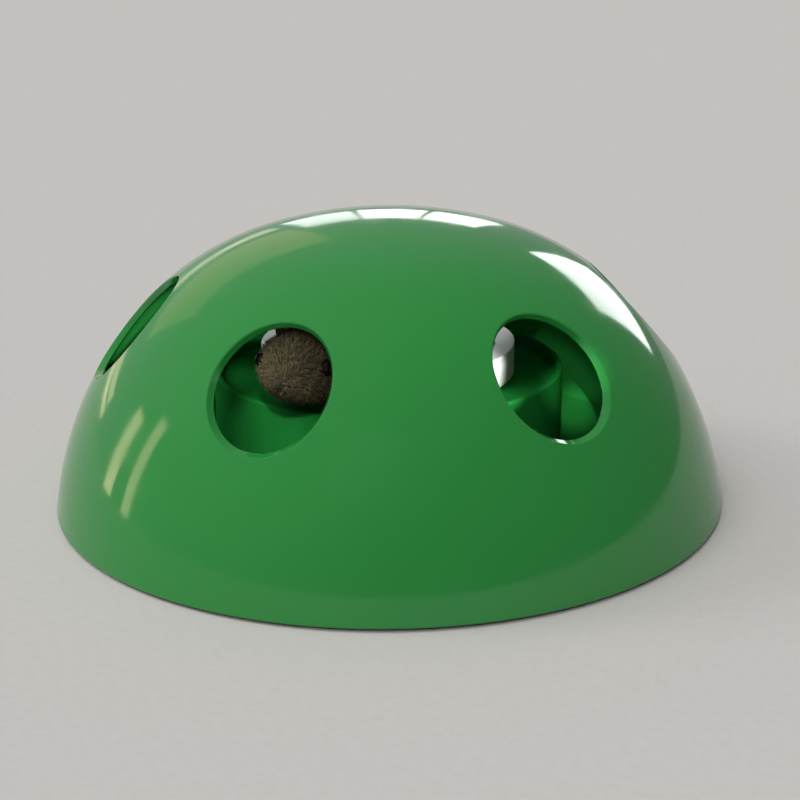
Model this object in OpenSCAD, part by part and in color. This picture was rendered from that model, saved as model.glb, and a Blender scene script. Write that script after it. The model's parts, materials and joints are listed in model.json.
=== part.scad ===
// Domed cat toy: a plush mouse and a feather are turned under a dome and pushed out of its holes.
// Millimetres, +Z up, origin on the floor under the centre of the dome, the mouse faces -Y.

/* [Dome] */
// Outer diameter of the dome at its lower edge
dome_d = 240; // [210:1:270]
// Wall thickness of the dome
dome_wall = 2.6; // [2:0.1:4]
// Height of the dome's lower edge above the floor
dome_gap = 1; // [0.5:0.1:2]
// Lean of the wall at the lower edge, in degrees
foot_lean = 8; // [4:0.5:12]
// Radius of the side arc
side_r = 127; // [115:1:140]
// Slope at the upper end of the side arc, in degrees
side_end = 39.5; // [36:0.5:41]
// Radius of the shoulder arc
shoulder_r = 97; // [88:1:106]
// Slope at the upper end of the shoulder arc, in degrees
shoulder_end = 73.5; // [70:0.5:77]
// Number of holes, an even number
hole_count = 6; // [4, 6]
// Diameter of each hole
hole_d = 40.5; // [38:0.5:46]
// Upward tilt of each hole, in degrees
hole_tilt = 16; // [10:1:25]
// Height of the hole centres above the middle of the mouse
hole_rise = 0; // [-1:0.1:1.5]
// Width of the seat tabs inside the dome
tab_w = 12; // [8:0.5:18]
// Length of the seat tabs towards the middle
tab_l = 8; // [5:0.5:10]
// Height of the seat tabs
tab_h = 10; // [6:0.5:14]

/* [Base] */
// Thickness of the base plate
base_t = 3; // [2.6:0.1:4]
// Diameter of the rubber feet
foot_d = 18; // [12:0.5:24]
// Height of the rubber feet
foot_h = 3; // [2.4:0.1:4]
// Depth of the feet in the base plate
foot_sink = 0.8; // [0.5:0.1:1.2]
// Distance of the feet from the base plate's edge
foot_margin = 9.4; // [4:0.1:20]
// Shank diameter of the screws
screw_d = 2.6; // [2:0.1:3]
// Head diameter of the screws
head_d = 5.4; // [4.4:0.1:6]
// Head height of the screws
head_h = 1.6; // [1.2:0.1:1.8]

/* [Drum] */
// Outer diameter of the drum
drum_d = 124; // [116:1:130]
// Wall thickness of the drum
drum_wall = 2.4; // [1.8:0.1:3]
// Thickness of the deck that closes the drum
deck_t = 2.5; // [2:0.1:3.5]
// Height of the rim above the deck
rim_h = 3.4; // [3:0.1:5]
// Radius of the round on top of the rim
rim_round = 1; // [0.5:0.1:1.1]
// Diameter of the screw bosses in the drum
boss_d = 8; // [7:0.5:10]
// Distance of the screw bosses from the middle
boss_r = 53; // [50:0.5:54]
// Depth of the screws in the drum and the legs
screw_grip = 12; // [8:0.5:14]

/* [Rotor] */
// Outer diameter of the rotor
rotor_d = 90; // [84:1:96]
// Wall thickness of the rotor
rotor_wall = 2.2; // [1.6:0.1:3]
// Thickness of the rotor's floor
rotor_floor = 2.2; // [1.6:0.1:3]
// Thickness of the rotor's cap
cap_t = 2.2; // [1.8:0.1:3]
// Diameter of the rotor's hub
hub_d = 32; // [26:1:36]
// Outer diameter of the rotor's spindle
spindle_d = 12; // [10:0.5:13]
// Distance from the middle to the open ends of the rotor
pocket_y = 20; // [19.8:0.1:24]
// Diameter of the bosses for the cap screws
cap_boss_d = 7; // [6:0.5:8]
// Sideways distance of the cap screws from the middle
cap_boss_x = 34; // [32:0.5:36]
// Distance of the cap screws from the middle, along the travel
cap_boss_y = 10; // [6:0.5:16]
// Length of the cap screws
cap_screw_l = 6; // [4:0.5:7]
// Height of the one-way bearing
bearing_h = 10; // [8:0.5:10.5]
// Outer diameter of the one-way bearing
bearing_d = 18; // [16.5:0.5:22]
// Outer diameter of the thrust washer
washer_d = 30; // [24:1:34]
// Thickness of the thrust washer
washer_t = 0.8; // [0.5:0.1:1.2]
// Thickness of the retaining clip
clip_t = 0.8; // [0.6:0.1:1]
// Outer diameter of the retaining clip
clip_d = 17; // [15.5:0.5:18]
// Depth of the clip's groove in the spindle
clip_groove = 1; // [0.6:0.1:1.4]

/* [Arms] */
// Travel of the mouse and the feather
travel = 36; // [24:1:38]
// Height of the toothed racks and of the drive pinion
rack_h = 5; // [4:0.5:6]
// Width of the racks behind their teeth
rack_back = 5; // [4:0.5:6]
// Thickness of the arms' upright plates
arm_t = 3; // [2:0.5:4]
// Half width of the upright plates
arm_half = 6; // [4:0.5:8]
// Height of the upright plates above the peg's middle
arm_top = 5; // [4:0.5:7]
// Diameter of the pegs
peg_d = 6; // [4:0.5:7]
// Length of the pegs
peg_l = 10; // [6:0.5:14]

/* [Mouse] */
// Overall length of the mouse without its nose
mouse_l = 60; // [50:0.5:61]
// Width of the mouse's body
mouse_w = 33; // [28:0.5:33.5]
// Height of the mouse's body
mouse_h = 26; // [22:0.5:27]
// Length of the mouse's body
body_l = 46; // [40:0.5:48]
// Height of the mouse above the rotor's floor
mouse_lift = 3.4; // [2:0.1:4]
// Length of the mouse's head
head_l = 33; // [29:0.5:35]
// Width of the mouse's head
head_w = 31; // [25:0.5:32]
// Height of the mouse's head
head_tall = 25; // [20:0.5:26]
// Distance of the head's middle line below the body's
head_drop = 0.5; // [0:0.1:2]
// Distance of the neck from the tip of the snout
neck_l = 25; // [22:0.5:26]
// Diameter of the ears
ear_d = 9; // [7:0.5:9.5]
// Thickness of the ears
ear_t = 3; // [2:0.1:4]
// Sideways distance of the ears from the middle
ear_x = 7.5; // [6:0.5:8]
// Depth of the ears' middles below the top of the head
ear_sink = 3.2; // [2.6:0.1:4]
// Distance of the ears from the neck
ear_back = 3; // [2:0.5:5]
// Distance of the eyes from the tip of the snout
eye_back = 12.5; // [9:0.5:14]
// Diameter of the bead eyes
eye_d = 5; // [3.5:0.1:5.5]
// Diameter of the nose
nose_d = 2.8; // [2:0.1:4]

/* [Feather] */
// Diameter of the ferrule
ferrule_d = 9; // [8.5:0.1:11]
// Length of the ferrule
ferrule_l = 15; // [13:0.5:18]
// Diameter of the quill
quill_d = 1.8; // [1.4:0.1:2.4]
// Length of the vane
vane_l = 44; // [30:0.5:46]
// Width of the vane
vane_w = 22; // [14:0.5:26]
// Thickness of the vane
vane_t = 1; // [0.8:0.1:1.2]

/* [Drive] */
// Module of the gear teeth
gear_m = 1; // [0.95:0.01:1.05]
// Teeth of the motor pinion and of the small idler wheel
small_teeth = 12; // [12, 13]
// Teeth of the large idler wheel and of the output gear
large_teeth = 36; // [34:1:38]
// Teeth of the drive pinion between the racks
drive_teeth = 36; // [32, 36]
// Tooth height above the pitch line, in modules
tooth_top = 0.8; // [0.6:0.05:0.85]
// Tooth depth below the pitch line, in modules
tooth_root = 1.05; // [1:0.05:1.25]
// Pressure angle of the teeth, in degrees
tooth_angle = 20; // [18:0.5:24]
// Backlash of the teeth
backlash = 0.25; // [0.15:0.05:0.4]
// Thickness of the output gear
output_face = 3.5; // [2.5:0.5:4]
// Thickness of the large idler wheel
idler_face = 2.5; // [2:0.5:3]
// Diameter of the drive shaft
shaft_d = 5; // [4:0.5:6]
// Diameter of the idler's axle
axle_d = 3; // [2:0.5:4]
// Diameter of the motor's shaft
motor_shaft_d = 3; // [2:0.5:4]
// Distance of the motor from the middle, towards the back
motor_y = 34; // [32:0.5:36]
// Width of the motor
motor_w = 12; // [10:0.5:14]
// Depth of the motor
motor_d = 10; // [8:0.5:12]
// Length of the motor's gearbox
gearbox_l = 9; // [8:0.5:10]
// Thickness of the motor's clamp
clamp_t = 1.6; // [1.2:0.1:2]
// Height of the motor's clamp
clamp_h = 8; // [6:0.5:10]
// Length of the clamp's ears
clamp_ear = 8; // [7:0.5:10]
// Thickness of the gear plate
plate_t = 2; // [1.6:0.1:3]
// Diameter of the gear plate's legs
leg_d = 7; // [6:0.5:8]
// Sideways distance of the front legs from the middle
leg_front_x = 40; // [37:0.5:42]
// Distance of the front legs from the middle, towards the front
leg_front_y = 8; // [4:0.5:12]
// Sideways distance of the back legs from the middle
leg_back_x = 25; // [22:0.5:26]
// Distance of the back legs from the middle, towards the back
leg_back_y = 36; // [34.5:0.5:38]

/* [Power] */
// Diameter of a battery cell
cell_d = 14.5; // [13.5:0.1:15.5]
// Length of a battery cell
cell_l = 50.5; // [46:0.5:54]
// Number of battery cells
cell_count = 3; // [2, 3]
// Wall thickness of the battery box
box_wall = 1.6; // [1.2:0.1:2]
// Room at each end of the cells for their contacts
contact_room = 5; // [4.5:0.1:6]
// Thickness of the contact plates
contact_t = 0.5; // [0.4:0.1:0.8]
// Wire thickness of the contact springs
spring_wire = 0.7; // [0.6:0.05:0.8]
// Outer diameter of the contact springs
spring_d = 8; // [6:0.5:10]
// Thickness of the battery door
door_t = 2; // [1.6:0.1:2.2]
// Diameter of the pins that the battery door swings on
door_pin_d = 1.2; // [1:0.1:1.4]
// Length of the pins that the battery door swings on
door_pin_l = 2; // [1.5:0.1:3]
// Width of the ledge that the battery door closes against
door_ledge = 2.6; // [2:0.1:4]
// Length of the circuit board
board_l = 44; // [38:0.5:46]
// Width of the circuit board
board_w = 21; // [18:0.5:22]
// Thickness of the circuit board
board_t = 1.6; // [1:0.1:2]
// Distance of the board's screws from its ends
board_edge = 4; // [3.5:0.5:5]
// Gap between the battery box and the circuit board
board_gap = 3; // [2:0.5:4]
// Height of the slide switch and of the board's spacers
switch_h = 3.6; // [3:0.1:5]
// Sideways distance of the slide switch from the middle
switch_x = 9; // [8:0.5:11]
// Length of the slide switch
switch_l = 12; // [10:0.5:14]
// Width of the slide switch
switch_w = 5; // [4.5:0.1:6]
// Travel of the slide switch
switch_travel = 4; // [3:0.5:5]
// Length of the switch's knob
knob_l = 4; // [3:0.5:5]
// Width of the switch's knob
knob_w = 3; // [2:0.1:3.4]
// Distance that the knob stands out below the base plate
knob_out = 0.8; // [0.4:0.1:1.2]
// Sideways distance of the sounder from the middle
sounder_x = 9; // [8:0.5:11]
// Diameter of the sounder
sounder_d = 12; // [9:0.5:13]
// Height of the sounder
sounder_h = 6; // [4:0.5:9]

/* [Fits] */
// Radial clearance of a shaft that turns in its hole
run_gap = 0.05; // [0.02:0.01:0.1]
// Radial clearance of a piece that is pressed or screwed in
press_gap = 0.02; // [0.01:0.01:0.05]
// Gap beside a piece that slides or lifts off
slide_gap = 0.3; // [0.2:0.05:0.5]
// Gap between pieces that pass each other
pass_gap = 0.8; // [0.6:0.1:1.2]

/* [Hidden] */
$fn = 64;
eps = 0.01;

// Colours
shell_green = "#2f8a3c";
deep_green = "#1f6a30";
white_plastic = "#f2f2ee";
grey_plastic = "#8d8f92";
black_plastic = "#2a2a2c";
steel = "#b9bcc0";
plush_brown = "#5d4a3c";

// Heights, from the floor up
base_bottom = foot_h - foot_sink;
base_top = base_bottom + base_t;
cell_z = base_top + slide_gap + cell_d / 2;
box_roof = cell_z + cell_d / 2 + slide_gap;
box_top = box_roof + box_wall;
plate_z = box_top + pass_gap;
plate_top = plate_z + plate_t;
output_z = plate_top + pass_gap;
idler_z = output_z + output_face + pass_gap;
spindle_z = idler_z + idler_face + pass_gap;
clip_z = spindle_z + pass_gap;
bearing_z = clip_z + clip_t + slide_gap;
deck_z = bearing_z + bearing_h;
rim_z = deck_z + rim_h;
washer_top = deck_z + washer_t;
hub_z = washer_top + run_gap;
rack_z = rim_z + pass_gap;
rotor_floor_top = rack_z - slide_gap;
cap_z = rack_z + rack_h + slide_gap;
mouse_z = rotor_floor_top + mouse_lift + mouse_h / 2;
hole_z = mouse_z + hole_rise;
skirt_z = deck_z + pass_gap;

// The dome's three arcs, each tangent to the next; an angle is the slope of the wall's normal
dome_r = dome_d / 2;
side_c = [dome_r - side_r * cos(foot_lean), dome_gap - side_r * sin(foot_lean)];
shoulder_c = side_c + (side_r - shoulder_r) * [cos(side_end), sin(side_end)];
top_r = shoulder_r + shoulder_c[0] / cos(shoulder_end);
top_c = shoulder_c + (shoulder_r - top_r) * [cos(shoulder_end), sin(shoulder_end)];
joint_z = shoulder_c[1] + shoulder_r * sin(side_end);
hole_on_side = hole_z < joint_z;
hole_x = hole_on_side ? side_c[0] + sqrt(pow(side_r, 2) - pow(hole_z - side_c[1], 2))
                      : shoulder_c[0] + sqrt(pow(shoulder_r, 2) - pow(hole_z - shoulder_c[1], 2));
inner_lean = asin((dome_gap - side_c[1]) / (side_r - dome_wall));
wall_steps = 42;
function dome_point(slope, inset) =
    slope > 90 - eps ? [0, top_c[1] + top_r - inset]
    : slope > shoulder_end ? top_c + (top_r - inset) * [cos(slope), sin(slope)]
    : slope > side_end ? shoulder_c + (shoulder_r - inset) * [cos(slope), sin(slope)]
    : side_c + (side_r - inset) * [cos(slope), sin(slope)];
function inner_x(z) = side_c[0] + sqrt(pow(side_r - dome_wall, 2) - pow(z - side_c[1], 2));
base_r = inner_x(base_top) - slide_gap;
foot_r = base_r - foot_margin - foot_d / 2;

// Gear sizes and centres
small_r = gear_m * small_teeth / 2;
large_r = gear_m * large_teeth / 2;
drive_r = gear_m * drive_teeth / 2;
gear_reach = small_r + large_r;
idler_at = [-sqrt(pow(gear_reach, 2) - pow(motor_y / 2, 2)), motor_y / 2];
idler_turn = atan2(idler_at[1], idler_at[0]);
motor_turn = atan2(motor_y - idler_at[1], -idler_at[0]);
gearbox_top = idler_z - pass_gap;
clamp_screw_x = motor_w / 2 + clamp_t + clamp_ear / 2;

// Arm sizes
rack_pitch = drive_r + backlash / 2;
rack_root = rack_pitch + gear_m * tooth_root;
rack_tip = rack_pitch - gear_m * tooth_top;
rack_x = rack_root + rack_back;
pocket_x = rack_x + slide_gap;
arm_y = pocket_y + pass_gap;
arm_front = arm_y + arm_t;
rack_tail = travel + 2 * PI * gear_m;
peg_hole = peg_d / 2 + press_gap;

// Feather sizes: the quill ends short of the vane's tip, and a stop parts it from the peg
quill_short = 2;
quill_stop = 1;
quill_hold = ferrule_l - peg_l - quill_stop;
ferrule_end = arm_front + ferrule_l;
quill_end = ferrule_end + vane_l - quill_short;

// The mouse's outline along s, from its back: a body lobe and a head lobe that flow into each other;
// a low peak brings a lobe's thickest place forward, and a low fullness makes its ends blunter
mouse_back = arm_front + slide_gap;
mouse_neck = mouse_l - neck_l;
body_peak = 0.8;
body_fullness = 0.55;
head_peak = 0.72;
head_fullness = 0.75;
flow = 6;
function lobe(t, peak, fullness) = t > 0 && t < 1 ? pow(sin(180 * pow(t, peak)), fullness) : 0;
function swell(s, body_size, head_size) =
    pow(pow(body_size / 2 * lobe(s / body_l, body_peak, body_fullness), flow)
        + pow(head_size / 2 * lobe((s - mouse_l + head_l) / head_l, head_peak, head_fullness), flow),
        1 / flow);
function mouse_row(s) =
    [s, swell(s, mouse_w, head_w), swell(s, mouse_h, head_tall),
     -head_drop * max(0, s - mouse_l + head_l) / head_l];
function mouse_end(s) = [s, 0, 0, mouse_row(s)[3]];
eye_row = mouse_row(mouse_l - eye_back);
eye_turn = 18;
eye_depth = 0.94;
ear_row = mouse_row(mouse_neck + ear_back);
ear_lean = 12;
ear_splay = 18;
ear_z = mouse_z + ear_row[3] + ear_row[2] - ear_sink;

// Battery box
cell_pitch = cell_d + slide_gap;
box_l = cell_l + 2 * contact_room;
box_w = cell_count * cell_pitch + slide_gap;
box_out_l = box_l + 2 * box_wall;
box_out_w = box_w + 2 * box_wall;
door_l = box_l + 2 * door_ledge - 2 * slide_gap;
door_w = box_w + 2 * door_ledge - 2 * slide_gap;
door_r = (door_t - press_gap) / 2;
door_axis = [-door_w / 2 + door_r, base_bottom + door_r];
spring_turns = 2.5;

// Circuit board and switch
board_y = -box_out_w / 2 - board_gap - board_w / 2;
board_z = base_top + switch_h;
board_screw_x = board_l / 2 - board_edge;
stem_h = switch_h / 2;
board_screw_l = switch_h + board_t + base_t / 2;

// Half angle of a tooth at a radius, and the outline of a spur gear with a tooth on +X
function spread(angle) = tan(angle) * 180 / PI - angle;
function half_tooth(teeth, r, base) =
    90 / teeth - backlash / 2 / (gear_m * teeth / 2) * 90 / PI + spread(tooth_angle)
    - (r > base ? spread(acos(base / r)) : 0);
function gear_outline(teeth, steps = 5) =
    let(pitch = gear_m * teeth / 2,
        root = pitch - gear_m * tooth_root,
        tip = pitch + gear_m * tooth_top,
        base = pitch * cos(tooth_angle))
    [for (k = [0 : teeth - 1])
        for (side = [-1, 1])
            for (i = [0 : steps])
                let(j = side < 0 ? i : steps - i,
                    start = max(root, base),
                    r = j == 0 ? root : start + (tip - start) * (j - 1) / (steps - 1),
                    turn = 360 * k / teeth + side * half_tooth(teeth, r, base))
                r * [cos(turn), sin(turn)]];

// A spur gear with a tooth on +X
module spur(teeth, face) {
    linear_extrude(face) polygon(gear_outline(teeth));
}

// A ring with a bore
module ring(outer, inner, h) {
    difference() {
        cylinder(d = outer, h = h);
        translate([0, 0, -eps]) cylinder(d = inner, h = h + 2 * eps);
    }
}

// A screw with a cross recess, head down
module screw(length) {
    slot_w = head_d / 6;
    slot_l = head_d * 0.6;
    difference() {
        union() {
            cylinder(d = head_d, h = head_h);
            cylinder(d = screw_d, h = head_h + length);
        }
        for (turn = [0, 90])
            rotate(turn) cube([slot_l, slot_w, head_h], center = true);
    }
}

// Four places at equal distances from the middle, on the diagonals
module on_diagonals(r) {
    for (k = [0 : 3])
        rotate(45 + 90 * k) translate([r, 0]) children();
}

// The four legs of the gear plate
module on_legs() {
    for (side = [-1, 1]) {
        translate([side * leg_front_x, -leg_front_y]) children();
        translate([side * leg_back_x, leg_back_y]) children();
    }
}

// The row of battery cells: +1 where a cell's raised end points along +X, -1 where it points back
module on_cells() {
    for (k = [0 : cell_count - 1])
        translate([0, (k - (cell_count - 1) / 2) * cell_pitch, cell_z])
            rotate(180 * (k % 2))
                children();
}

// A closed form through rows of [y, half width, half height, z]; its first and last rows are end points
module loft(rows, sides = 24) {
    rings = len(rows) - 2;
    last = rings * sides + 1;
    points = concat(
        [[0, rows[0][0], rows[0][3]]],
        [for (i = [1 : rings])
            for (k = [0 : sides - 1])
                [rows[i][1] * cos(360 * k / sides),
                 rows[i][0],
                 rows[i][3] + rows[i][2] * sin(360 * k / sides)]],
        [[0, rows[rings + 1][0], rows[rings + 1][3]]]);
    faces = concat(
        [for (k = [0 : sides - 1]) [0, 1 + k, 1 + (k + 1) % sides]],
        [for (i = [0 : rings - 2])
            for (k = [0 : sides - 1])
                [1 + i * sides + k, 1 + (i + 1) * sides + k, 1 + i * sides + (k + 1) % sides]],
        [for (i = [0 : rings - 2])
            for (k = [0 : sides - 1])
                [1 + i * sides + (k + 1) % sides, 1 + (i + 1) * sides + k,
                 1 + (i + 1) * sides + (k + 1) % sides]],
        [for (k = [0 : sides - 1])
            [last, 1 + (rings - 1) * sides + (k + 1) % sides, 1 + (rings - 1) * sides + k]]);
    polyhedron(points, faces);
}

module dome_cover() {
    color(shell_green) difference() {
        union() {
            rotate_extrude($fn = 180) polygon(concat(
                [for (i = [0 : wall_steps]) dome_point(foot_lean + (90 - foot_lean) * i / wall_steps, 0)],
                [for (i = [wall_steps : -1 : 0])
                    dome_point(inner_lean + (90 - inner_lean) * i / wall_steps, dome_wall)]));
            for (k = [0 : hole_count - 1])
                rotate(360 * (k + 0.5) / hole_count)
                    translate([-tab_w / 2, -inner_x(base_top), base_top])
                        cube([tab_w, tab_l, tab_h]);
        }
        for (k = [0 : hole_count - 1])
            rotate(360 * k / hole_count)
                translate([0, -hole_x, hole_z])
                    rotate([90 - hole_tilt, 0, 0])
                        cylinder(d = hole_d, h = hole_d, center = true);
    }
}

module base_plate() {
    color(shell_green) difference() {
        translate([0, 0, base_bottom]) cylinder(r = base_r, h = base_t, $fn = 180);
        // seats of the feet
        on_diagonals(foot_r)
            translate([0, 0, base_bottom - eps]) cylinder(d = foot_d + 2 * press_gap, h = foot_sink + eps);
        // battery opening, with the ledge for its door
        translate([0, 0, base_bottom]) cube([box_l, box_w, 4 * base_t], center = true);
        translate([-door_l / 2 - slide_gap, -door_w / 2 - slide_gap, base_bottom - eps])
            cube([door_l + 2 * slide_gap, door_w + 2 * slide_gap, door_t + eps]);
        door_rod(door_pin_d + 2 * run_gap, door_l + 2 * door_pin_l + 2 * slide_gap);
        // screw holes
        on_diagonals(boss_r) screw_hole();
        on_legs() screw_hole();
        for (side = [-1, 1])
            translate([side * clamp_screw_x, motor_y]) screw_hole();
        for (side = [-1, 1])
            translate([side * board_screw_x, board_y, base_bottom + base_t / 2])
                cylinder(d = screw_d + 2 * press_gap, h = base_t);
        // slot of the switch's knob
        translate([switch_x, board_y, base_bottom])
            cube([knob_l + switch_travel + 2 * slide_gap, knob_w + 2 * slide_gap, 4 * base_t], center = true);
    }
}

// A rod along the axis that the battery door swings on
module door_rod(d, l) {
    translate([0, door_axis[0], door_axis[1]])
        rotate([0, 90, 0]) cylinder(d = d, h = l, center = true);
}

// A screw hole through the base plate, with a seat for the head
module screw_hole() {
    translate([0, 0, base_bottom - eps]) {
        cylinder(d = head_d + 2 * slide_gap, h = head_h + eps);
        cylinder(d = screw_d + 2 * slide_gap, h = base_t + 2 * eps);
    }
}

module rubber_feet() {
    color(black_plastic) on_diagonals(foot_r) cylinder(d = foot_d, h = foot_h);
}

module case_screws() {
    color(steel) on_diagonals(boss_r)
        translate([0, 0, base_bottom]) screw(base_t - head_h + screw_grip);
}

module battery_door() {
    grip_w = 14;
    grip_l = 6;
    grip_depth = door_t / 2;
    color(shell_green) difference() {
        union() {
            translate([-door_l / 2, door_axis[0], base_bottom])
                cube([door_l, door_w - door_r, 2 * door_r]);
            door_rod(2 * door_r, door_l);
            door_rod(door_pin_d, door_l + 2 * door_pin_l);
        }
        translate([-grip_w / 2, door_w / 2 - 2 * grip_l, base_bottom - eps])
            cube([grip_w, grip_l, grip_depth + eps]);
    }
}

module battery_box() {
    color(black_plastic) difference() {
        translate([-box_out_l / 2, -box_out_w / 2, base_top])
            cube([box_out_l, box_out_w, box_top - base_top]);
        translate([-box_l / 2, -box_w / 2, base_top - eps])
            cube([box_l, box_w, box_roof - base_top + eps]);
    }
}

module battery_cells() {
    nub_d = 5.5;
    nub_l = 1;
    color(grey_plastic) on_cells() rotate([0, 90, 0]) {
        translate([0, 0, -cell_l / 2]) cylinder(d = cell_d, h = cell_l - nub_l);
        cylinder(d = nub_d, h = cell_l / 2);
    }
}

module contact_springs() {
    steps = 8 * spring_turns;
    sides = 6;
    coil_r = (spring_d - spring_wire) / 2;
    coil_l = contact_room - contact_t - 2 * spring_wire;
    coil = [for (i = [0 : steps])
        [coil_l * i / steps, coil_r * cos(45 * i), coil_r * sin(45 * i)]];
    color(steel) on_cells()
        translate([-cell_l / 2 - contact_room + contact_t + spring_wire, 0, 0])
            tube(coil, spring_wire / 2, sides);
}

// A round wire along a list of points, its rings turned round +X
module tube(path, r, sides) {
    n = len(path);
    points = [for (i = [0 : n - 1])
        let(turn = 45 * i)
        for (k = [0 : sides - 1])
            path[i] + r * [sin(360 * k / sides),
                           cos(360 * k / sides) * cos(turn),
                           cos(360 * k / sides) * sin(turn)]];
    faces = concat(
        [[for (k = [0 : sides - 1]) sides - 1 - k]],
        [for (i = [0 : n - 2])
            for (k = [0 : sides - 1])
                [i * sides + k, i * sides + (k + 1) % sides, (i + 1) * sides + k]],
        [for (i = [0 : n - 2])
            for (k = [0 : sides - 1])
                [i * sides + (k + 1) % sides, (i + 1) * sides + (k + 1) % sides, (i + 1) * sides + k]],
        [[for (k = [0 : sides - 1]) (n - 1) * sides + k]]);
    polyhedron(points, faces);
}

module contact_plates() {
    contact_w = 11;
    color(steel) on_cells() {
        for (side = [-1, 1])
            translate([side * (box_l - contact_t) / 2, 0, 0])
                cube([contact_t, contact_w, contact_w], center = true);
        // the raised dimple that the cell's nub meets
        translate([cell_l / 2, 0, 0])
            rotate([0, 90, 0]) cylinder(d = spring_d / 2, h = contact_room - contact_t);
    }
}

module circuit_board() {
    color("#0f5a33") difference() {
        translate([-board_l / 2, board_y - board_w / 2, board_z]) cube([board_l, board_w, board_t]);
        for (side = [-1, 1])
            translate([side * board_screw_x, board_y, board_z - eps])
                cylinder(d = screw_d + 2 * press_gap, h = board_t + 2 * eps);
    }
}

module board_components() {
    chip = [8, 6, 1.6];
    can_d = 5;
    can_h = 8;
    plug = [6, 4, 5];
    row_y = board_w / 2 - 4;
    color(black_plastic) translate([0, board_y, board_z + board_t]) {
        translate([switch_x - chip[0] / 2, -chip[1] / 2, 0]) cube(chip);
        translate([0, -row_y, 0]) cylinder(d = can_d, h = can_h);
        translate([switch_x, row_y - plug[1] / 2, 0]) cube(plug);
    }
}

module board_spacers() {
    spacer_wall = 1.5;
    color(white_plastic) for (side = [-1, 1])
        translate([side * board_screw_x, board_y, base_top])
            ring(screw_d + 2 * spacer_wall, screw_d + 2 * press_gap, switch_h);
}

module board_screws() {
    color(steel) for (side = [-1, 1])
        translate([side * board_screw_x, board_y, board_z + board_t + head_h])
            rotate([180, 0, 0]) screw(board_screw_l);
}

module sounder() {
    color(black_plastic) translate([-sounder_x, board_y, board_z + board_t])
        difference() {
            cylinder(d = sounder_d, h = sounder_h);
            translate([0, 0, sounder_h / 2]) cylinder(d = sounder_d / 6, h = sounder_h);
        }
}

module switch_body() {
    stem_room = knob_l / 2 + switch_travel + 2 * slide_gap;
    color(steel) translate([switch_x, board_y, base_top]) difference() {
        translate([-switch_l / 2, -switch_w / 2, 0]) cube([switch_l, switch_w, switch_h]);
        translate([-stem_room / 2, -knob_w / 4 - slide_gap, -eps])
            cube([stem_room, knob_w / 2 + 2 * slide_gap, stem_h + slide_gap + eps]);
    }
}

module switch_knob() {
    knob_z = base_bottom - knob_out;
    color(black_plastic) translate([switch_x, board_y, 0]) {
        translate([-knob_l / 2, -knob_w / 2, knob_z]) cube([knob_l, knob_w, base_top - knob_z - slide_gap]);
        translate([-knob_l / 4, -knob_w / 4, knob_z])
            cube([knob_l / 2, knob_w / 2, base_top - knob_z + stem_h]);
    }
}

module motor_can() {
    can_top = gearbox_top - gearbox_l;
    color(steel) translate([0, motor_y, base_top]) intersection() {
        cylinder(d = motor_w, h = can_top - base_top);
        translate([0, 0, (can_top - base_top) / 2])
            cube([motor_w, motor_d, can_top - base_top], center = true);
    }
}

module motor_gearbox() {
    end_t = 1;
    inset = 0.8;
    color("#c9a24a") translate([0, motor_y, gearbox_top - gearbox_l]) difference() {
        union() {
            for (z = [0, gearbox_l - end_t])
                translate([-motor_w / 2, -motor_d / 2, z]) cube([motor_w, motor_d, end_t]);
            translate([-motor_w / 2 + inset, -motor_d / 2 + inset, 0])
                cube([motor_w - 2 * inset, motor_d - 2 * inset, gearbox_l]);
        }
        translate([0, 0, gearbox_l / 2])
            cylinder(d = motor_shaft_d + 2 * run_gap, h = gearbox_l);
    }
}

module motor_clamp() {
    out_w = motor_w + 2 * clamp_t;
    out_d = motor_d + 2 * clamp_t;
    color(white_plastic) translate([0, motor_y, base_top]) difference() {
        union() {
            translate([-out_w / 2, -out_d / 2, 0]) cube([out_w, out_d, clamp_h]);
            translate([-out_w / 2 - clamp_ear, -motor_d / 2, 0])
                cube([out_w + 2 * clamp_ear, motor_d, clamp_t]);
        }
        translate([-motor_w / 2 - press_gap, -motor_d / 2 - press_gap, -eps])
            cube([motor_w + 2 * press_gap, motor_d + 2 * press_gap, clamp_h + 2 * eps]);
        for (side = [-1, 1])
            translate([side * clamp_screw_x, 0, -eps])
                cylinder(d = screw_d + 2 * press_gap, h = clamp_t + 2 * eps);
    }
}

module clamp_screws() {
    color(steel) for (side = [-1, 1])
        translate([side * clamp_screw_x, motor_y, base_bottom]) screw(base_t - head_h + clamp_t);
}

module gear_plate() {
    leg_rim = 1;
    corner_r = leg_d / 2 + leg_rim;
    color(grey_plastic) difference() {
        union() {
            translate([0, 0, plate_z]) linear_extrude(plate_t) {
                polygon([[-leg_front_x, -leg_front_y - corner_r], [leg_front_x, -leg_front_y - corner_r],
                         [leg_back_x, leg_back_y + corner_r], [-leg_back_x, leg_back_y + corner_r]]);
                on_legs() circle(corner_r);
            }
            on_legs() translate([0, 0, base_top]) cylinder(d = leg_d, h = plate_z - base_top + eps);
        }
        on_legs() translate([0, 0, base_top - eps])
            cylinder(d = screw_d + 2 * press_gap, h = screw_grip + pass_gap);
        translate([-motor_w / 2 - slide_gap, motor_y - motor_d / 2 - slide_gap, plate_z - eps])
            cube([motor_w + 2 * slide_gap, motor_d + 2 * slide_gap, plate_t + 2 * eps]);
        translate([0, 0, plate_z - eps]) cylinder(d = shaft_d + 2 * run_gap, h = plate_t + 2 * eps);
        translate([idler_at[0], idler_at[1], plate_z - eps])
            cylinder(d = axle_d + 2 * press_gap, h = plate_t + 2 * eps);
    }
}

module plate_screws() {
    color(steel) on_legs() translate([0, 0, base_bottom]) screw(base_t - head_h + screw_grip);
}

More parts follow.
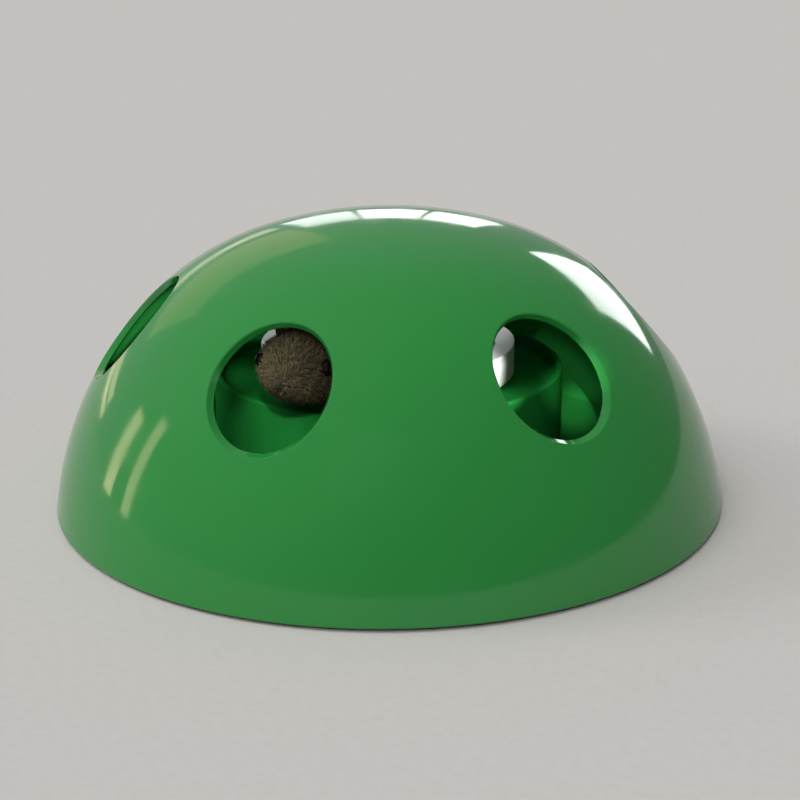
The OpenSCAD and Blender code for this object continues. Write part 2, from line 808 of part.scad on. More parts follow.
module motor_pinion() {
    shaft_foot = gearbox_top - gearbox_l / 2 + pass_gap;
    color(steel) translate([0, motor_y, 0]) {
        translate([0, 0, idler_z])
            rotate(motor_turn + 180 + 180 / small_teeth) spur(small_teeth, idler_face);
        translate([0, 0, shaft_foot])
            cylinder(d = motor_shaft_d, h = idler_z + idler_face / 2 - shaft_foot);
    }
}

module idler_gear() {
    color(white_plastic) translate([idler_at[0], idler_at[1], 0]) difference() {
        union() {
            translate([0, 0, output_z])
                rotate(idler_turn + 180 + 180 / small_teeth)
                    spur(small_teeth, idler_z - output_z + eps);
            translate([0, 0, idler_z]) rotate(motor_turn) spur(large_teeth, idler_face);
        }
        translate([0, 0, output_z - eps])
            cylinder(d = axle_d + 2 * run_gap, h = idler_z + idler_face - output_z + 2 * eps);
    }
}

module idler_axle() {
    color(steel) translate([idler_at[0], idler_at[1], plate_z])
        cylinder(d = axle_d, h = spindle_z - plate_z);
}

module output_gear() {
    gear_hub_d = 10;
    gear_hub_h = pass_gap - run_gap;
    color(white_plastic) difference() {
        union() {
            translate([0, 0, output_z]) rotate(idler_turn) spur(large_teeth, output_face);
            translate([0, 0, output_z - gear_hub_h]) cylinder(d = gear_hub_d, h = gear_hub_h + eps);
        }
        translate([0, 0, plate_top]) cylinder(d = shaft_d + 2 * run_gap, h = output_face + 2 * pass_gap);
    }
}

module drum_cover() {
    drum_r = drum_d / 2;
    inner_r = drum_r - drum_wall;
    boss_h = deck_z - bearing_z;
    boss_wall = 2.5;
    color(deep_green) difference() {
        union() {
            rotate_extrude($fn = 180) {
                translate([inner_r, base_top]) square([drum_wall, rim_z - base_top - rim_round]);
                translate([inner_r + rim_round, rim_z - 2 * rim_round])
                    square([drum_wall - 2 * rim_round, 2 * rim_round]);
                for (x = [inner_r + rim_round, drum_r - rim_round])
                    translate([x, rim_z - rim_round]) circle(rim_round);
                translate([0, deck_z - deck_t]) square([inner_r + eps, deck_t]);
            }
            translate([0, 0, bearing_z]) cylinder(d = bearing_d + 2 * boss_wall, h = boss_h);
            on_diagonals(boss_r)
                translate([0, 0, base_top]) cylinder(d = boss_d, h = deck_z - base_top - eps);
        }
        translate([0, 0, bearing_z - eps])
            cylinder(d = bearing_d + 2 * press_gap, h = boss_h + 2 * eps);
        on_diagonals(boss_r) translate([0, 0, base_top - eps])
            cylinder(d = screw_d + 2 * press_gap, h = screw_grip + pass_gap);
    }
}

module one_way_bearing() {
    color(steel) translate([0, 0, bearing_z])
        ring(bearing_d, spindle_d + 2 * run_gap, bearing_h);
}

module thrust_washer() {
    color(white_plastic) translate([0, 0, deck_z])
        ring(washer_d, spindle_d + 2 * pass_gap, washer_t);
}

// Outline of the rotor: a disc without its two open ends
module rotor_plan() {
    intersection() {
        circle(d = rotor_d, $fn = 180);
        union() {
            square([2 * rotor_d, 2 * pocket_y], center = true);
            for (side = [-1, 1])
                translate([side * (pocket_x + rotor_d / 2), 0]) square(rotor_d, center = true);
        }
    }
}

// The four places of the cap screws
module on_cap_bosses() {
    for (x = [-cap_boss_x, cap_boss_x])
        for (y = [-cap_boss_y, cap_boss_y])
            translate([x, y]) children();
}

module rotor_base() {
    rotor_r = rotor_d / 2;
    inner_r = rotor_r - rotor_wall;
    floor_z = rotor_floor_top - rotor_floor;
    rail_l = 2 * sqrt(pow(inner_r + rotor_wall / 2, 2) - pow(pocket_x + rotor_wall, 2));
    color(white_plastic) difference() {
        union() {
            translate([0, 0, floor_z]) linear_extrude(rotor_floor) rotor_plan();
            intersection() {
                translate([0, 0, skirt_z]) ring(rotor_d, 2 * inner_r, floor_z - skirt_z + eps);
                translate([0, 0, skirt_z]) linear_extrude(rotor_floor) rotor_plan();
            }
            difference() {
                translate([0, 0, rotor_floor_top - eps])
                    ring(rotor_d, 2 * inner_r, cap_z - rotor_floor_top + eps);
                translate([0, 0, rotor_floor_top + rack_h])
                    cube([2 * pocket_x, 2 * rotor_d, 2 * rack_h], center = true);
            }
            for (side = [-1, 1])
                translate([side * (pocket_x + rotor_wall / 2), 0, (rotor_floor_top + cap_z - eps) / 2])
                    cube([rotor_wall, rail_l, cap_z - rotor_floor_top + eps], center = true);
            on_cap_bosses() translate([0, 0, rotor_floor_top - eps])
                cylinder(d = cap_boss_d, h = cap_z - rotor_floor_top + eps);
            translate([0, 0, hub_z]) cylinder(d = hub_d, h = floor_z - hub_z + eps);
            translate([0, 0, spindle_z]) cylinder(d = spindle_d, h = floor_z - spindle_z + eps);
        }
        translate([0, 0, spindle_z - eps]) cylinder(d = shaft_d + 2 * run_gap, h = rack_z - spindle_z);
        translate([0, 0, clip_z])
            ring(2 * spindle_d, spindle_d - 2 * clip_groove, clip_t);
        on_cap_bosses() translate([0, 0, cap_z - cap_screw_l])
            cylinder(d = screw_d + 2 * press_gap, h = cap_screw_l + eps);
    }
}

module rotor_cap() {
    color(white_plastic) difference() {
        translate([0, 0, cap_z]) linear_extrude(cap_t) rotor_plan();
        on_cap_bosses() {
            translate([0, 0, cap_z - eps]) cylinder(d = screw_d + 2 * press_gap, h = cap_t + 2 * eps);
            translate([0, 0, cap_z + cap_t - head_h / 2])
                cylinder(d = head_d + 2 * slide_gap, h = head_h);
        }
        translate([0, 0, cap_z - eps]) cylinder(d = shaft_d + 2 * run_gap, h = cap_t / 2 + eps);
    }
}

module cap_screws() {
    color(steel) on_cap_bosses()
        translate([0, 0, cap_z + cap_t + head_h / 2])
            rotate([180, 0, 0]) screw(cap_t - head_h / 2 + cap_screw_l - pass_gap);
}

module retaining_clip() {
    mouth = spindle_d - 3 * clip_groove;
    color(steel) translate([0, 0, clip_z]) difference() {
        ring(clip_d, spindle_d - 2 * clip_groove + 2 * press_gap, clip_t);
        translate([-mouth / 2, 0, -eps]) cube([mouth, clip_d, clip_t + 2 * eps]);
    }
}

module drive_pinion() {
    window_count = 5;
    window_d = 9;
    window_at = 10.5;
    color(white_plastic) translate([0, 0, rack_z]) difference() {
        spur(drive_teeth, rack_h);
        translate([0, 0, -eps]) cylinder(d = shaft_d + 2 * press_gap, h = rack_h + 2 * eps);
        for (k = [0 : window_count - 1])
            rotate(360 * k / window_count)
                translate([window_at, 0, -eps]) cylinder(d = window_d, h = rack_h + 2 * eps);
    }
}

module drive_shaft() {
    color(steel) translate([0, 0, plate_z])
        cylinder(d = shaft_d, h = cap_z + cap_t / 2 - plate_z - slide_gap);
}

// An arm along -Y: a toothed rack beside the drive pinion, and an upright plate with a peg
module rack_arm() {
    pitch = PI * gear_m;
    half = pitch / 4 - backlash / 2;
    top_half = half - gear_m * tooth_top * tan(tooth_angle);
    root_half = half + gear_m * tooth_root * tan(tooth_angle);
    last_tooth = floor(rack_tail / pitch) - 1;
    color(white_plastic) {
        translate([0, 0, rack_z]) linear_extrude(rack_h) {
            translate([rack_root, -arm_front]) square([rack_back, arm_front + rack_tail]);
            for (k = [-2 : last_tooth])
                translate([0, (k + 0.5) * pitch])
                    polygon([[rack_root + rack_back / 2, -root_half], [rack_root, -root_half],
                             [rack_tip, -top_half], [rack_tip, top_half],
                             [rack_root, root_half], [rack_root + rack_back / 2, root_half]]);
            translate([-arm_half, -arm_front]) square([arm_half + rack_x, arm_t]);
        }
        translate([-arm_half, -arm_front, rack_z])
            cube([2 * arm_half, arm_t, mouse_z + arm_top - rack_z]);
        translate([0, -arm_front + eps, mouse_z]) rotate([90, 0, 0]) cylinder(d = peg_d, h = peg_l + eps);
    }
}

module mouse_rack() {
    rack_arm();
}

// Places a form that runs forward along the mouse
module on_mouse() {
    translate([0, -mouse_back, mouse_z]) rotate(180) children();
}

// The mouse's body, from its round back to the neck
module body_form() {
    rings = 12;
    on_mouse() loft(concat(
        [mouse_end(0)],
        [for (i = [1 : rings]) mouse_row(mouse_neck * (1 - cos(90 * i / rings)))],
        [mouse_end(mouse_neck)]));
}

// The mouse's head, from the neck to the snout
module head_form() {
    rings = 12;
    on_mouse() loft(concat(
        [mouse_end(mouse_neck)],
        [for (i = [0 : rings - 1]) mouse_row(mouse_neck + (mouse_l - mouse_neck) * sin(90 * i / rings))],
        [mouse_end(mouse_l)]));
}

// One ear, a lens that faces forward, leans out and is sewn into a slit in the head
module ear_form(side) {
    lens_r = (pow(ear_d / 2, 2) + pow(ear_t / 2, 2)) / ear_t;
    translate([side * ear_x, -mouse_back - ear_row[0], ear_z]) rotate([ear_lean, 0, side * ear_splay])
        intersection() {
            translate([0, lens_r - ear_t / 2, 0]) sphere(lens_r, $fn = 180);
            translate([0, ear_t / 2 - lens_r, 0]) sphere(lens_r, $fn = 180);
        }
}

module eye_forms() {
    for (side = [-1, 1])
        on_mouse() translate([side * eye_depth * eye_row[1] * cos(eye_turn),
                              eye_row[0],
                              eye_row[3] + eye_depth * eye_row[2] * sin(eye_turn)])
            sphere(d = eye_d);
}

module nose_form() {
    on_mouse() translate([0, mouse_l - nose_d / 4, -head_drop]) sphere(d = nose_d);
}

module mouse_body() {
    color(plush_brown) difference() {
        body_form();
        translate([0, -arm_front + eps, mouse_z])
            rotate([90, 0, 0]) cylinder(r = peg_hole, h = peg_l + slide_gap);
    }
}

module mouse_head() {
    color(plush_brown) difference() {
        head_form();
        eye_forms();
        nose_form();
        ear_form(-1);
        ear_form(1);
    }
}

module mouse_left_ear() {
    color(plush_brown) ear_form(-1);
}

module mouse_right_ear() {
    color(plush_brown) ear_form(1);
}

module mouse_eyes() {
    color(black_plastic) eye_forms();
}

module mouse_nose() {
    color(plush_brown) nose_form();
}

module feather_rack() {
    rotate(180) rack_arm();
}

module feather_ferrule() {
    color(steel) difference() {
        translate([0, arm_front, mouse_z]) rotate([-90, 0, 0]) cylinder(d = ferrule_d, h = ferrule_l);
        translate([0, arm_front - eps, mouse_z]) rotate([-90, 0, 0]) cylinder(r = peg_hole, h = peg_l + eps);
        translate([0, ferrule_end - quill_hold, mouse_z])
            rotate([-90, 0, 0]) cylinder(d = quill_d + 2 * press_gap, h = quill_hold + eps);
    }
}

module feather_quill() {
    color(white_plastic) translate([0, ferrule_end - quill_hold, mouse_z])
        rotate([-90, 0, 0]) cylinder(d = quill_d, h = quill_end - ferrule_end + quill_hold);
}

module feather_vane() {
    steps = 20;
    vane_peak = 0.8;
    vane_fullness = 0.7;
    edge = [for (i = [0 : steps])
        let(t = i / steps)
        [ferrule_end + vane_l * t, vane_w / 2 * lobe(t, vane_peak, vane_fullness)]];
    color("#b8793f") difference() {
        translate([-vane_t / 2, 0, mouse_z]) rotate([90, 0, 90]) linear_extrude(vane_t)
            polygon(concat(edge, [for (i = [1 : steps - 1]) [edge[steps - i][0], -edge[steps - i][1]]]));
        translate([0, ferrule_end - eps, mouse_z])
            rotate([-90, 0, 0])
                cylinder(d = quill_d + 2 * press_gap, h = quill_end - ferrule_end + press_gap);
    }
}

dome_cover();
base_plate();
rubber_feet();
case_screws();
battery_door();
battery_box();
battery_cells();
contact_springs();
contact_plates();
circuit_board();
board_components();
board_spacers();
board_screws();
sounder();
switch_body();
switch_knob();
motor_can();
motor_gearbox();
motor_clamp();
clamp_screws();
gear_plate();
plate_screws();
motor_pinion();
idler_gear();
idler_axle();
output_gear();
drum_cover();
one_way_bearing();
thrust_washer();
rotor_base();
rotor_cap();
cap_screws();
retaining_clip();
drive_pinion();
drive_shaft();
mouse_rack();
mouse_body();
mouse_head();
mouse_left_ear();
mouse_right_ear();
mouse_eyes();
mouse_nose();
feather_rack();
feather_ferrule();
feather_quill();
feather_vane();
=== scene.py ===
# %% [markdown]
# # Dressing a domed cat toy
# The toy is a glossy green shell with six round holes. Under it a small motor turns a white rotor, which
# pushes a plush mouse and a feather out through the holes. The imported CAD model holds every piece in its
# real place. This lesson adds what CAD leaves plain: a smooth moulded shell, fur, barbs and finishes.

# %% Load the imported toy
import json
import math

import bmesh
import bpy
import numpy as np
from mathutils import Euler, Matrix, Vector


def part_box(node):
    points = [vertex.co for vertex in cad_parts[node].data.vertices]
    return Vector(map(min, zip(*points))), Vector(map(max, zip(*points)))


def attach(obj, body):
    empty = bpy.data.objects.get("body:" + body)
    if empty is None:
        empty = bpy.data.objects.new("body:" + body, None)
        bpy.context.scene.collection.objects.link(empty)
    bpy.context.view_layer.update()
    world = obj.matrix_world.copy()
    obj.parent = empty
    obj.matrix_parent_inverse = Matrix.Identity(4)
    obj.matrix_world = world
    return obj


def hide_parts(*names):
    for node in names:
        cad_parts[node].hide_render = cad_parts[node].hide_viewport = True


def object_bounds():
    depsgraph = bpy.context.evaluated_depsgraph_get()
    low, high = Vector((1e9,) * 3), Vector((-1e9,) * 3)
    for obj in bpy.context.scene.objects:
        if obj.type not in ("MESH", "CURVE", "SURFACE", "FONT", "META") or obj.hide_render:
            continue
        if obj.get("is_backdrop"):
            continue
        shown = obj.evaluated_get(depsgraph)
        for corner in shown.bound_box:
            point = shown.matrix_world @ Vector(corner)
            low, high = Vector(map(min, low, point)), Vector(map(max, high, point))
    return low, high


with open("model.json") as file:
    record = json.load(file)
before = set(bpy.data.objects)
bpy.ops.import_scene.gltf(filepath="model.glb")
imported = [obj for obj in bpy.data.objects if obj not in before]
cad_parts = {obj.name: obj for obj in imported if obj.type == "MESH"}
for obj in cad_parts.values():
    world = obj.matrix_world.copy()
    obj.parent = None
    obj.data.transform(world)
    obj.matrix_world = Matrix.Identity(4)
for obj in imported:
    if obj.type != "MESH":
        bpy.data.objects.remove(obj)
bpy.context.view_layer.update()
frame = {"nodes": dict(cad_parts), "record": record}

mm = 0.001

# %% [markdown]
# ## Colours and nodes
# A hex colour is written as it looks on a screen, while a shader works in linear light. One function turns
# the first into the second, so every colour below can be read as it looks. A second function adds a shader
# node: a plain value is set on its socket, and a socket is linked to it. Another turns the real size of a
# pattern into the scale that Blender's textures want.

# %% Colours and shader nodes
def linear(hex_colour):
    """An sRGB hex colour as linear red, green, blue and alpha."""
    parts = [int(hex_colour[i:i + 2], 16) / 255 for i in (1, 3, 5)]
    return (*[c / 12.92 if c <= 0.04045 else ((c + 0.055) / 1.055) ** 2.4 for c in parts], 1.0)


def plug(node, inputs):
    """Sets values on a node's sockets, or links other sockets to them."""
    for name, value in inputs.items():
        if isinstance(value, bpy.types.NodeSocket):
            node.id_data.links.new(value, node.inputs[name])
        else:
            node.inputs[name].default_value = value


def add(tree, kind, inputs, **settings):
    """Adds a shader node with its settings, and plugs in its inputs."""
    made = tree.nodes.new(kind)
    for name, value in settings.items():
        setattr(made, name, value)
    plug(made, inputs)
    return made


def repeats(size_mm):
    """The scale of a texture whose features are this many millimetres apart."""
    return 1 / (size_mm * mm)


def finish(name, colour, roughness, sockets):
    """A new material whose shader has this colour, this roughness and these sockets."""
    made = bpy.data.materials.new(name)
    made.use_nodes = True
    shader = made.node_tree.nodes["Principled BSDF"]
    plug(shader, {"Base Color": linear(colour), "Roughness": roughness, **sockets})
    return made, made.node_tree, shader


print("linear mid green:", [round(c, 3) for c in linear("#2a8a38")])

# %% [markdown]
# ## Moulded plastics
# Most of the toy is ABS, pressed hot into a steel tool. The melt's flow leaves very slight drifts of shade,
# and the surface copies the tool: a polished tool gives a wet shine with a faint ripple, a spark-eroded one
# gives an even matte grain. One function makes them all, because they differ only in colour and in tool.
# Handling leaves smears that show only as patches of duller shine, so they go into the roughness.

# %% Plastics
FLOW_MM = 55
SMEAR_MM = 16
SMEAR_STARTS, SMEAR_FULL = 0.4, 0.75
MIX_FACTOR, MIX_FIRST, MIX_SECOND, MIX_RESULT = 0, 6, 7, 2


def moulded(name, shades, shine, grain_mm, grain_deep_mm, ior, gloss=0.5):
    """A moulded plastic with two close shades, a range of roughness and the grain of its tool."""
    made, tree, shader = finish(name, shades[0], shine[0], {"IOR": ior, "Specular IOR Level": gloss})
    where = add(tree, "ShaderNodeTexCoord", {}).outputs["Object"]
    flow = add(tree, "ShaderNodeTexNoise", {"Vector": where, "Scale": repeats(FLOW_MM), "Detail": 2.0})
    shade = add(tree, "ShaderNodeMix", {MIX_FACTOR: flow.outputs["Fac"], MIX_FIRST: linear(shades[0]),
                                        MIX_SECOND: linear(shades[1])}, data_type="RGBA")
    smear = add(tree, "ShaderNodeTexNoise", {"Vector": where, "Scale": repeats(SMEAR_MM), "Detail": 4.0})
    dull = add(tree, "ShaderNodeMapRange", {"Value": smear.outputs["Fac"], "From Min": SMEAR_STARTS,
                                            "From Max": SMEAR_FULL, "To Min": shine[0], "To Max": shine[1]})
    grain = add(tree, "ShaderNodeTexNoise", {"Vector": where, "Scale": repeats(grain_mm), "Detail": 2.0})
    skin = add(tree, "ShaderNodeBump", {"Height": grain.outputs["Fac"], "Distance": grain_deep_mm * mm})
    plug(shader, {"Base Color": shade.outputs[MIX_RESULT], "Roughness": dull.outputs["Result"],
                  "Normal": skin.outputs["Normal"]})
    return made


# ABS from a polished tool: deep, clean green under a wet shine, with a slow ripple in its reflections.
polished_abs_green = moulded("polished_abs_green", ("#1f8535", "#277f37"), (0.07, 0.15), 4.0, 0.006, 1.54)
# The same ABS from a blasted tool: the same green, quite flat, so that the drum stays quiet in its shade.
blasted_abs_green = moulded("blasted_abs_green", ("#1f8535", "#24883a"), (0.6, 0.7), 2.0, 0.006, 1.54,
                            gloss=0.0)
# White ABS, satin: bright, with soft highlights along its edges.
satin_abs_white = moulded("satin_abs_white", ("#efefea", "#ebebe6"), (0.3, 0.34), 1.2, 0.006, 1.54)
# Acetal, moulded: a slightly waxy off-white with a dull, slippery shine.
moulded_acetal_white = moulded("moulded_acetal_white", ("#e6e4da", "#dedbd0"), (0.34, 0.44), 0.8, 0.006, 1.48)
# ABS from a spark-eroded tool: grey, with an even sandy grain that breaks up every highlight.
sparked_abs_grey = moulded("sparked_abs_grey", ("#8b8d90", "#85878b"), (0.45, 0.55), 0.35, 0.02, 1.54)
# The same grain in black: a charcoal that never turns glossy.
sparked_abs_black = moulded("sparked_abs_black", ("#252527", "#2b2b2d"), (0.42, 0.55), 0.35, 0.02, 1.54)
# Polypropylene, moulded: milky white and a little greasy.
moulded_polypropylene = moulded("moulded_polypropylene", ("#ecebe4", "#e3e1d8"), (0.3, 0.42), 1.0, 0.008,
                                1.49)
# Moulded rubber: nearly black and dry, with a fine pitted skin that holds dust.
moulded_rubber_black = moulded("moulded_rubber_black", ("#232323", "#2f2e2d"), (0.68, 0.85), 0.5, 0.03, 1.52)
# A turned and polished acrylic bead: black glass to the eye, with one sharp glint.
polished_acrylic_bead = moulded("polished_acrylic_bead", ("#0b0a0a", "#100e0d"), (0.05, 0.1), 1.5, 0.002,
                                1.49, gloss=0.2)
print("ABS finishes:", [m.name for m in bpy.data.materials if "_abs_" in m.name])

# %% [markdown]
# ## Metals, board and cells
# The metal pieces are plated or stamped. A plated screw has a cloudy, slightly coloured skin; drawn and
# turned steel has fine lines along one way; brass dulls in spots. The metals share one function, since a
# metal's look is its colour, how rough it is and which way its marks run. The marks are finer than the
# render can show, so they are drawn about three times too coarse.

# %% Metals
def metal(name, shades, shine, mark_mm, stretch):
    """A metal with two shades, a range of roughness and marks that are drawn out along the axes."""
    made, tree, shader = finish(name, shades[0], shine[0], {"Metallic": 1.0})
    where = add(tree, "ShaderNodeTexCoord", {}).outputs["Object"]
    drawn = add(tree, "ShaderNodeMapping", {"Vector": where, "Scale": stretch})
    marks = add(tree, "ShaderNodeTexNoise", {"Vector": drawn.outputs["Vector"], "Scale": repeats(mark_mm),
                                             "Detail": 3.0})
    shade = add(tree, "ShaderNodeMix", {MIX_FACTOR: marks.outputs["Fac"], MIX_FIRST: linear(shades[0]),
                                        MIX_SECOND: linear(shades[1])}, data_type="RGBA")
    dull = add(tree, "ShaderNodeMapRange", {"Value": marks.outputs["Fac"], "To Min": shine[0],
                                            "To Max": shine[1]})
    plug(shader, {"Base Color": shade.outputs[MIX_RESULT], "Roughness": dull.outputs["Result"]})
    return made


# Zinc-plated steel: a pale grey with cloudy warm and cold patches.
zinc_plated_steel = metal("zinc_plated_steel", ("#b4b8bd", "#c9c5b6"), (0.26, 0.42), 1.5, (1, 1, 1))
# Nickel-plated drawn steel: bright, with fine lines along its height.
nickel_plated_steel = metal("nickel_plated_steel", ("#c6c3bc", "#b3b1ac"), (0.14, 0.3), 0.4, (1, 1, 0.1))
# Stamped brass: yellow, gone a little brown in spots.
stamped_brass = metal("stamped_brass", ("#c79a45", "#a67a35"), (0.22, 0.4), 1.2, (1, 1, 1))
print("metals:", [m.name for m in bpy.data.materials if "steel" in m.name or "brass" in m.name])

# %% [markdown]
# A dry cell wears a shrunk plastic sleeve over its steel can, here plain: dark in the middle and silver at
# both ends. The circuit board is woven glass under green solder mask, and its copper tracks show through as
# paler lines. Both patterns are drawn from the piece's own coordinates, so they need no picture.

# %% Cells and board
SLEEVE_HALF_MM = 13.5
TRACK_MM, TRACK_PROUD_MM = 2.2, 0.03
BRICK_ROWS = 4


def shrunk_cell_sleeve():
    """A printed PVC sleeve: silver ends, a dark middle, and a soft plastic shine over both."""
    made, tree, shader = finish("shrunk_cell_sleeve", "#9a9da1", 0.28, {"IOR": 1.53, "Metallic": 0.4})
    where = add(tree, "ShaderNodeTexCoord", {}).outputs["Object"]
    along = add(tree, "ShaderNodeSeparateXYZ", {"Vector": where}).outputs["X"]
    distance = add(tree, "ShaderNodeMath", {0: along}, operation="ABSOLUTE").outputs["Value"]
    middle = add(tree, "ShaderNodeMath", {0: distance, 1: SLEEVE_HALF_MM * mm}, operation="LESS_THAN")
    shade = add(tree, "ShaderNodeMix", {MIX_FACTOR: middle.outputs["Value"], MIX_FIRST: linear("#a9acb0"),
                                        MIX_SECOND: linear("#34373c")}, data_type="RGBA")
    plug(shader, {"Base Color": shade.outputs[MIX_RESULT]})
    return made


def masked_glass_board():
    """Glass laminate under solder mask: dark green, with paler lines where copper lies below it."""
    made, tree, shader = finish("masked_glass_board", "#0d4f2c", 0.3, {"IOR": 1.55})
    where = add(tree, "ShaderNodeTexCoord", {}).outputs["Object"]
    tracks = add(tree, "ShaderNodeTexBrick", {"Vector": where, "Scale": repeats(BRICK_ROWS * TRACK_MM),
                                              "Color1": linear("#0d4f2c"), "Color2": linear("#0f5530"),
                                              "Mortar": linear("#2b7d48"), "Mortar Size": 0.05})
    ridge = add(tree, "ShaderNodeBump", {"Height": tracks.outputs["Fac"], "Distance": TRACK_PROUD_MM * mm})
    plug(shader, {"Base Color": tracks.outputs["Color"], "Normal": ridge.outputs["Normal"]})
    return made


cell_sleeve = shrunk_cell_sleeve()
glass_board = masked_glass_board()
print("cell and board:", cell_sleeve.name, glass_board.name)

# %% [markdown]
# ## Plush and feather
# Plush is a knitted backing with a pile of fine polyester hairs, brushed one way. Each hair is painted darker
# at its root, as painted shade for the little light that gets down there, and no two hairs have quite the
# same shade. The hairs below are real geometry, and they carry two numbers for the shader: how far along the
# hair a point is, and a random number for the whole hair. A feather's barbs carry the same two numbers.

# %% Pile and barbs
ODD_RARITY = 2.5
STITCH_DEEP_MM = 0.15


def strands(name, root, tip, odd, roughness):
    """Fine strands: a root colour, a tip colour, and an odd colour that some lean to; a darker root is
    painted shade.
    """
    made, tree, shader = finish(name, tip, roughness, {"IOR": 1.5, "Sheen Weight": 0.15,
                                                       "Sheen Roughness": 0.4})
    along = add(tree, "ShaderNodeAttribute", {}, attribute_name="along")
    chance = add(tree, "ShaderNodeAttribute", {}, attribute_name="chance")
    # Root to tip: on the mouse's pile, the darker root colour is painted shade.
    length = add(tree, "ShaderNodeMix", {MIX_FACTOR: along.outputs["Fac"], MIX_FIRST: linear(root),
                                         MIX_SECOND: linear(tip)}, data_type="RGBA")
    lean = add(tree, "ShaderNodeMath", {0: chance.outputs["Fac"], 1: ODD_RARITY}, operation="POWER")
    shade = add(tree, "ShaderNodeMix", {MIX_FACTOR: lean.outputs["Value"], MIX_SECOND: linear(odd),
                                        MIX_FIRST: length.outputs[MIX_RESULT]}, data_type="RGBA")
    plug(shader, {"Base Color": shade.outputs[MIX_RESULT]})
    return made


def knitted(name, shades, stitch_mm):
    """Knitted backing or felt: small rounded stitches that take the light softly."""
    made, tree, shader = finish(name, shades[0], 0.85, {"IOR": 1.5, "Sheen Weight": 0.1,
                                                        "Sheen Roughness": 0.5})
    where = add(tree, "ShaderNodeTexCoord", {}).outputs["Object"]
    stitch = add(tree, "ShaderNodeTexVoronoi", {"Vector": where, "Scale": repeats(stitch_mm)})
    shade = add(tree, "ShaderNodeMix", {MIX_FACTOR: stitch.outputs["Distance"], MIX_FIRST: linear(shades[0]),
                                        MIX_SECOND: linear(shades[1])}, data_type="RGBA")
    bump = add(tree, "ShaderNodeBump", {"Height": stitch.outputs["Distance"],
                                        "Distance": STITCH_DEEP_MM * mm})
    plug(shader, {"Base Color": shade.outputs[MIX_RESULT], "Normal": bump.outputs["Normal"]})
    return made


# Brushed polyester pile: grey-brown, with painted shade at the roots, and a soft sheen on the lie of the
# hairs.
brushed_pile_brown = strands("brushed_pile_brown", "#1f1b10", "#5a5030", "#83784a", 0.6)
# The knit under the pile: dark, and hardly seen between the hairs.
knitted_backing_brown = knitted("knitted_backing_brown", ("#37301f", "#2a2417"), 0.8)
# Felt inside the ears: a paler, warmer brown with a dry, fuzzy face.
pressed_felt_tan = knitted("pressed_felt_tan", ("#8d735e", "#7a6250"), 0.5)
# A natural feather's barbs: chestnut, paler towards their tips, with a silky sheen.
natural_barbs_chestnut = strands("natural_barbs_chestnut", "#6d3d1c", "#b9793d", "#d8a768", 0.5)
# A feather's shaft is horn: ivory, and clear enough to look warm.
horn_shaft_ivory = moulded("horn_shaft_ivory", ("#dccda6", "#cdb98c"), (0.3, 0.4), 0.8, 0.01, 1.54)
print("soft finishes:", brushed_pile_brown.name, natural_barbs_chestnut.name)

# %% [markdown]
# ## Finishes on the CAD pieces
# The record says which finish each CAD piece has. Every piece takes its material from there, so none is left
# plain. CAD edges are mathematically sharp, while a real moulding or stamping has a small round on every
# edge, which catches the light. A Weld and a Bevel modifier give each piece listed below that round without
# changing its own mesh.

# %% Dress the CAD pieces
finish_of = {
    "shell_green": polished_abs_green, "drum_green": blasted_abs_green, "white_plastic": satin_abs_white,
    "acetal_white": moulded_acetal_white, "grey_plastic": sparked_abs_grey,
    "black_plastic": sparked_abs_black, "foot_rubber": moulded_rubber_black, "screw_steel": zinc_plated_steel,
    "bright_steel": nickel_plated_steel, "brass_yellow": stamped_brass, "cell_silver": cell_sleeve,
    "board_green": glass_board, "plush_brown": knitted_backing_brown, "bead_black": polished_acrylic_bead,
    "ferrule_white": moulded_polypropylene, "quill_ivory": horn_shaft_ivory,
    "feather_brown": natural_barbs_chestnut,
}
edge_rounds = {
    "base_plate": 0.4, "battery_door": 0.3, "rubber_feet": 0.5, "drum_cover": 0.3, "rotor_base": 0.4,
    "rotor_cap": 0.4, "mouse_rack": 0.3, "feather_rack": 0.3, "feather_ferrule": 0.5, "switch_knob": 0.3,
    "battery_box": 0.3, "motor_clamp": 0.3, "gear_plate": 0.3, "case_screws": 0.2, "cap_screws": 0.2,
    "plate_screws": 0.2, "clamp_screws": 0.2,
}
EDGE_ANGLE = math.radians(35)
BEVEL_CUTS = 2
weld_within = 0.002 * mm
for part in frame["record"]["subparts"]:
    piece = frame["nodes"][part["node"]]
    piece.data.materials.clear()
    piece.data.materials.append(finish_of[part["material_slot"]])
for name, size in edge_rounds.items():
    piece = frame["nodes"][name]
    piece.modifiers.new("weld", "WELD").merge_threshold = weld_within
    round_edges = piece.modifiers.new("edge_round", "BEVEL")
    round_edges.width = size * mm
    round_edges.segments = BEVEL_CUTS
    round_edges.limit_method = "ANGLE"
    round_edges.angle_limit = EDGE_ANGLE
    round_edges.harden_normals = True
print("CAD pieces dressed:", len(frame["nodes"]), "with rounded edges:", len(edge_rounds))

# %% [markdown]
# ## The shell's wall
# The shell is one moulding, 2.6 mm thick, whose outline is three arcs that flow into each other. It could be
# a lathed outline with the holes cut by a Boolean, but a Boolean leaves long thin faces round each hole, and
# a glossy surface shows every one of them as a dent. So each corner is worked out on the arcs themselves. A
# place on the wall is given by its turn round the toy, the slope of the wall there, and its depth.

# %% Places on the wall
wall = 2.6 * mm
shell_radius = 120 * mm
shell_foot = 1 * mm
foot_lean = math.radians(8)
side_radius, side_end = 127 * mm, math.radians(39.5)
shoulder_radius, shoulder_end = 97 * mm, math.radians(73.5)


def heading(angle):
    """The direction at this angle above the floor, as (outwards, up)."""
    return Vector((math.cos(angle), math.sin(angle)))


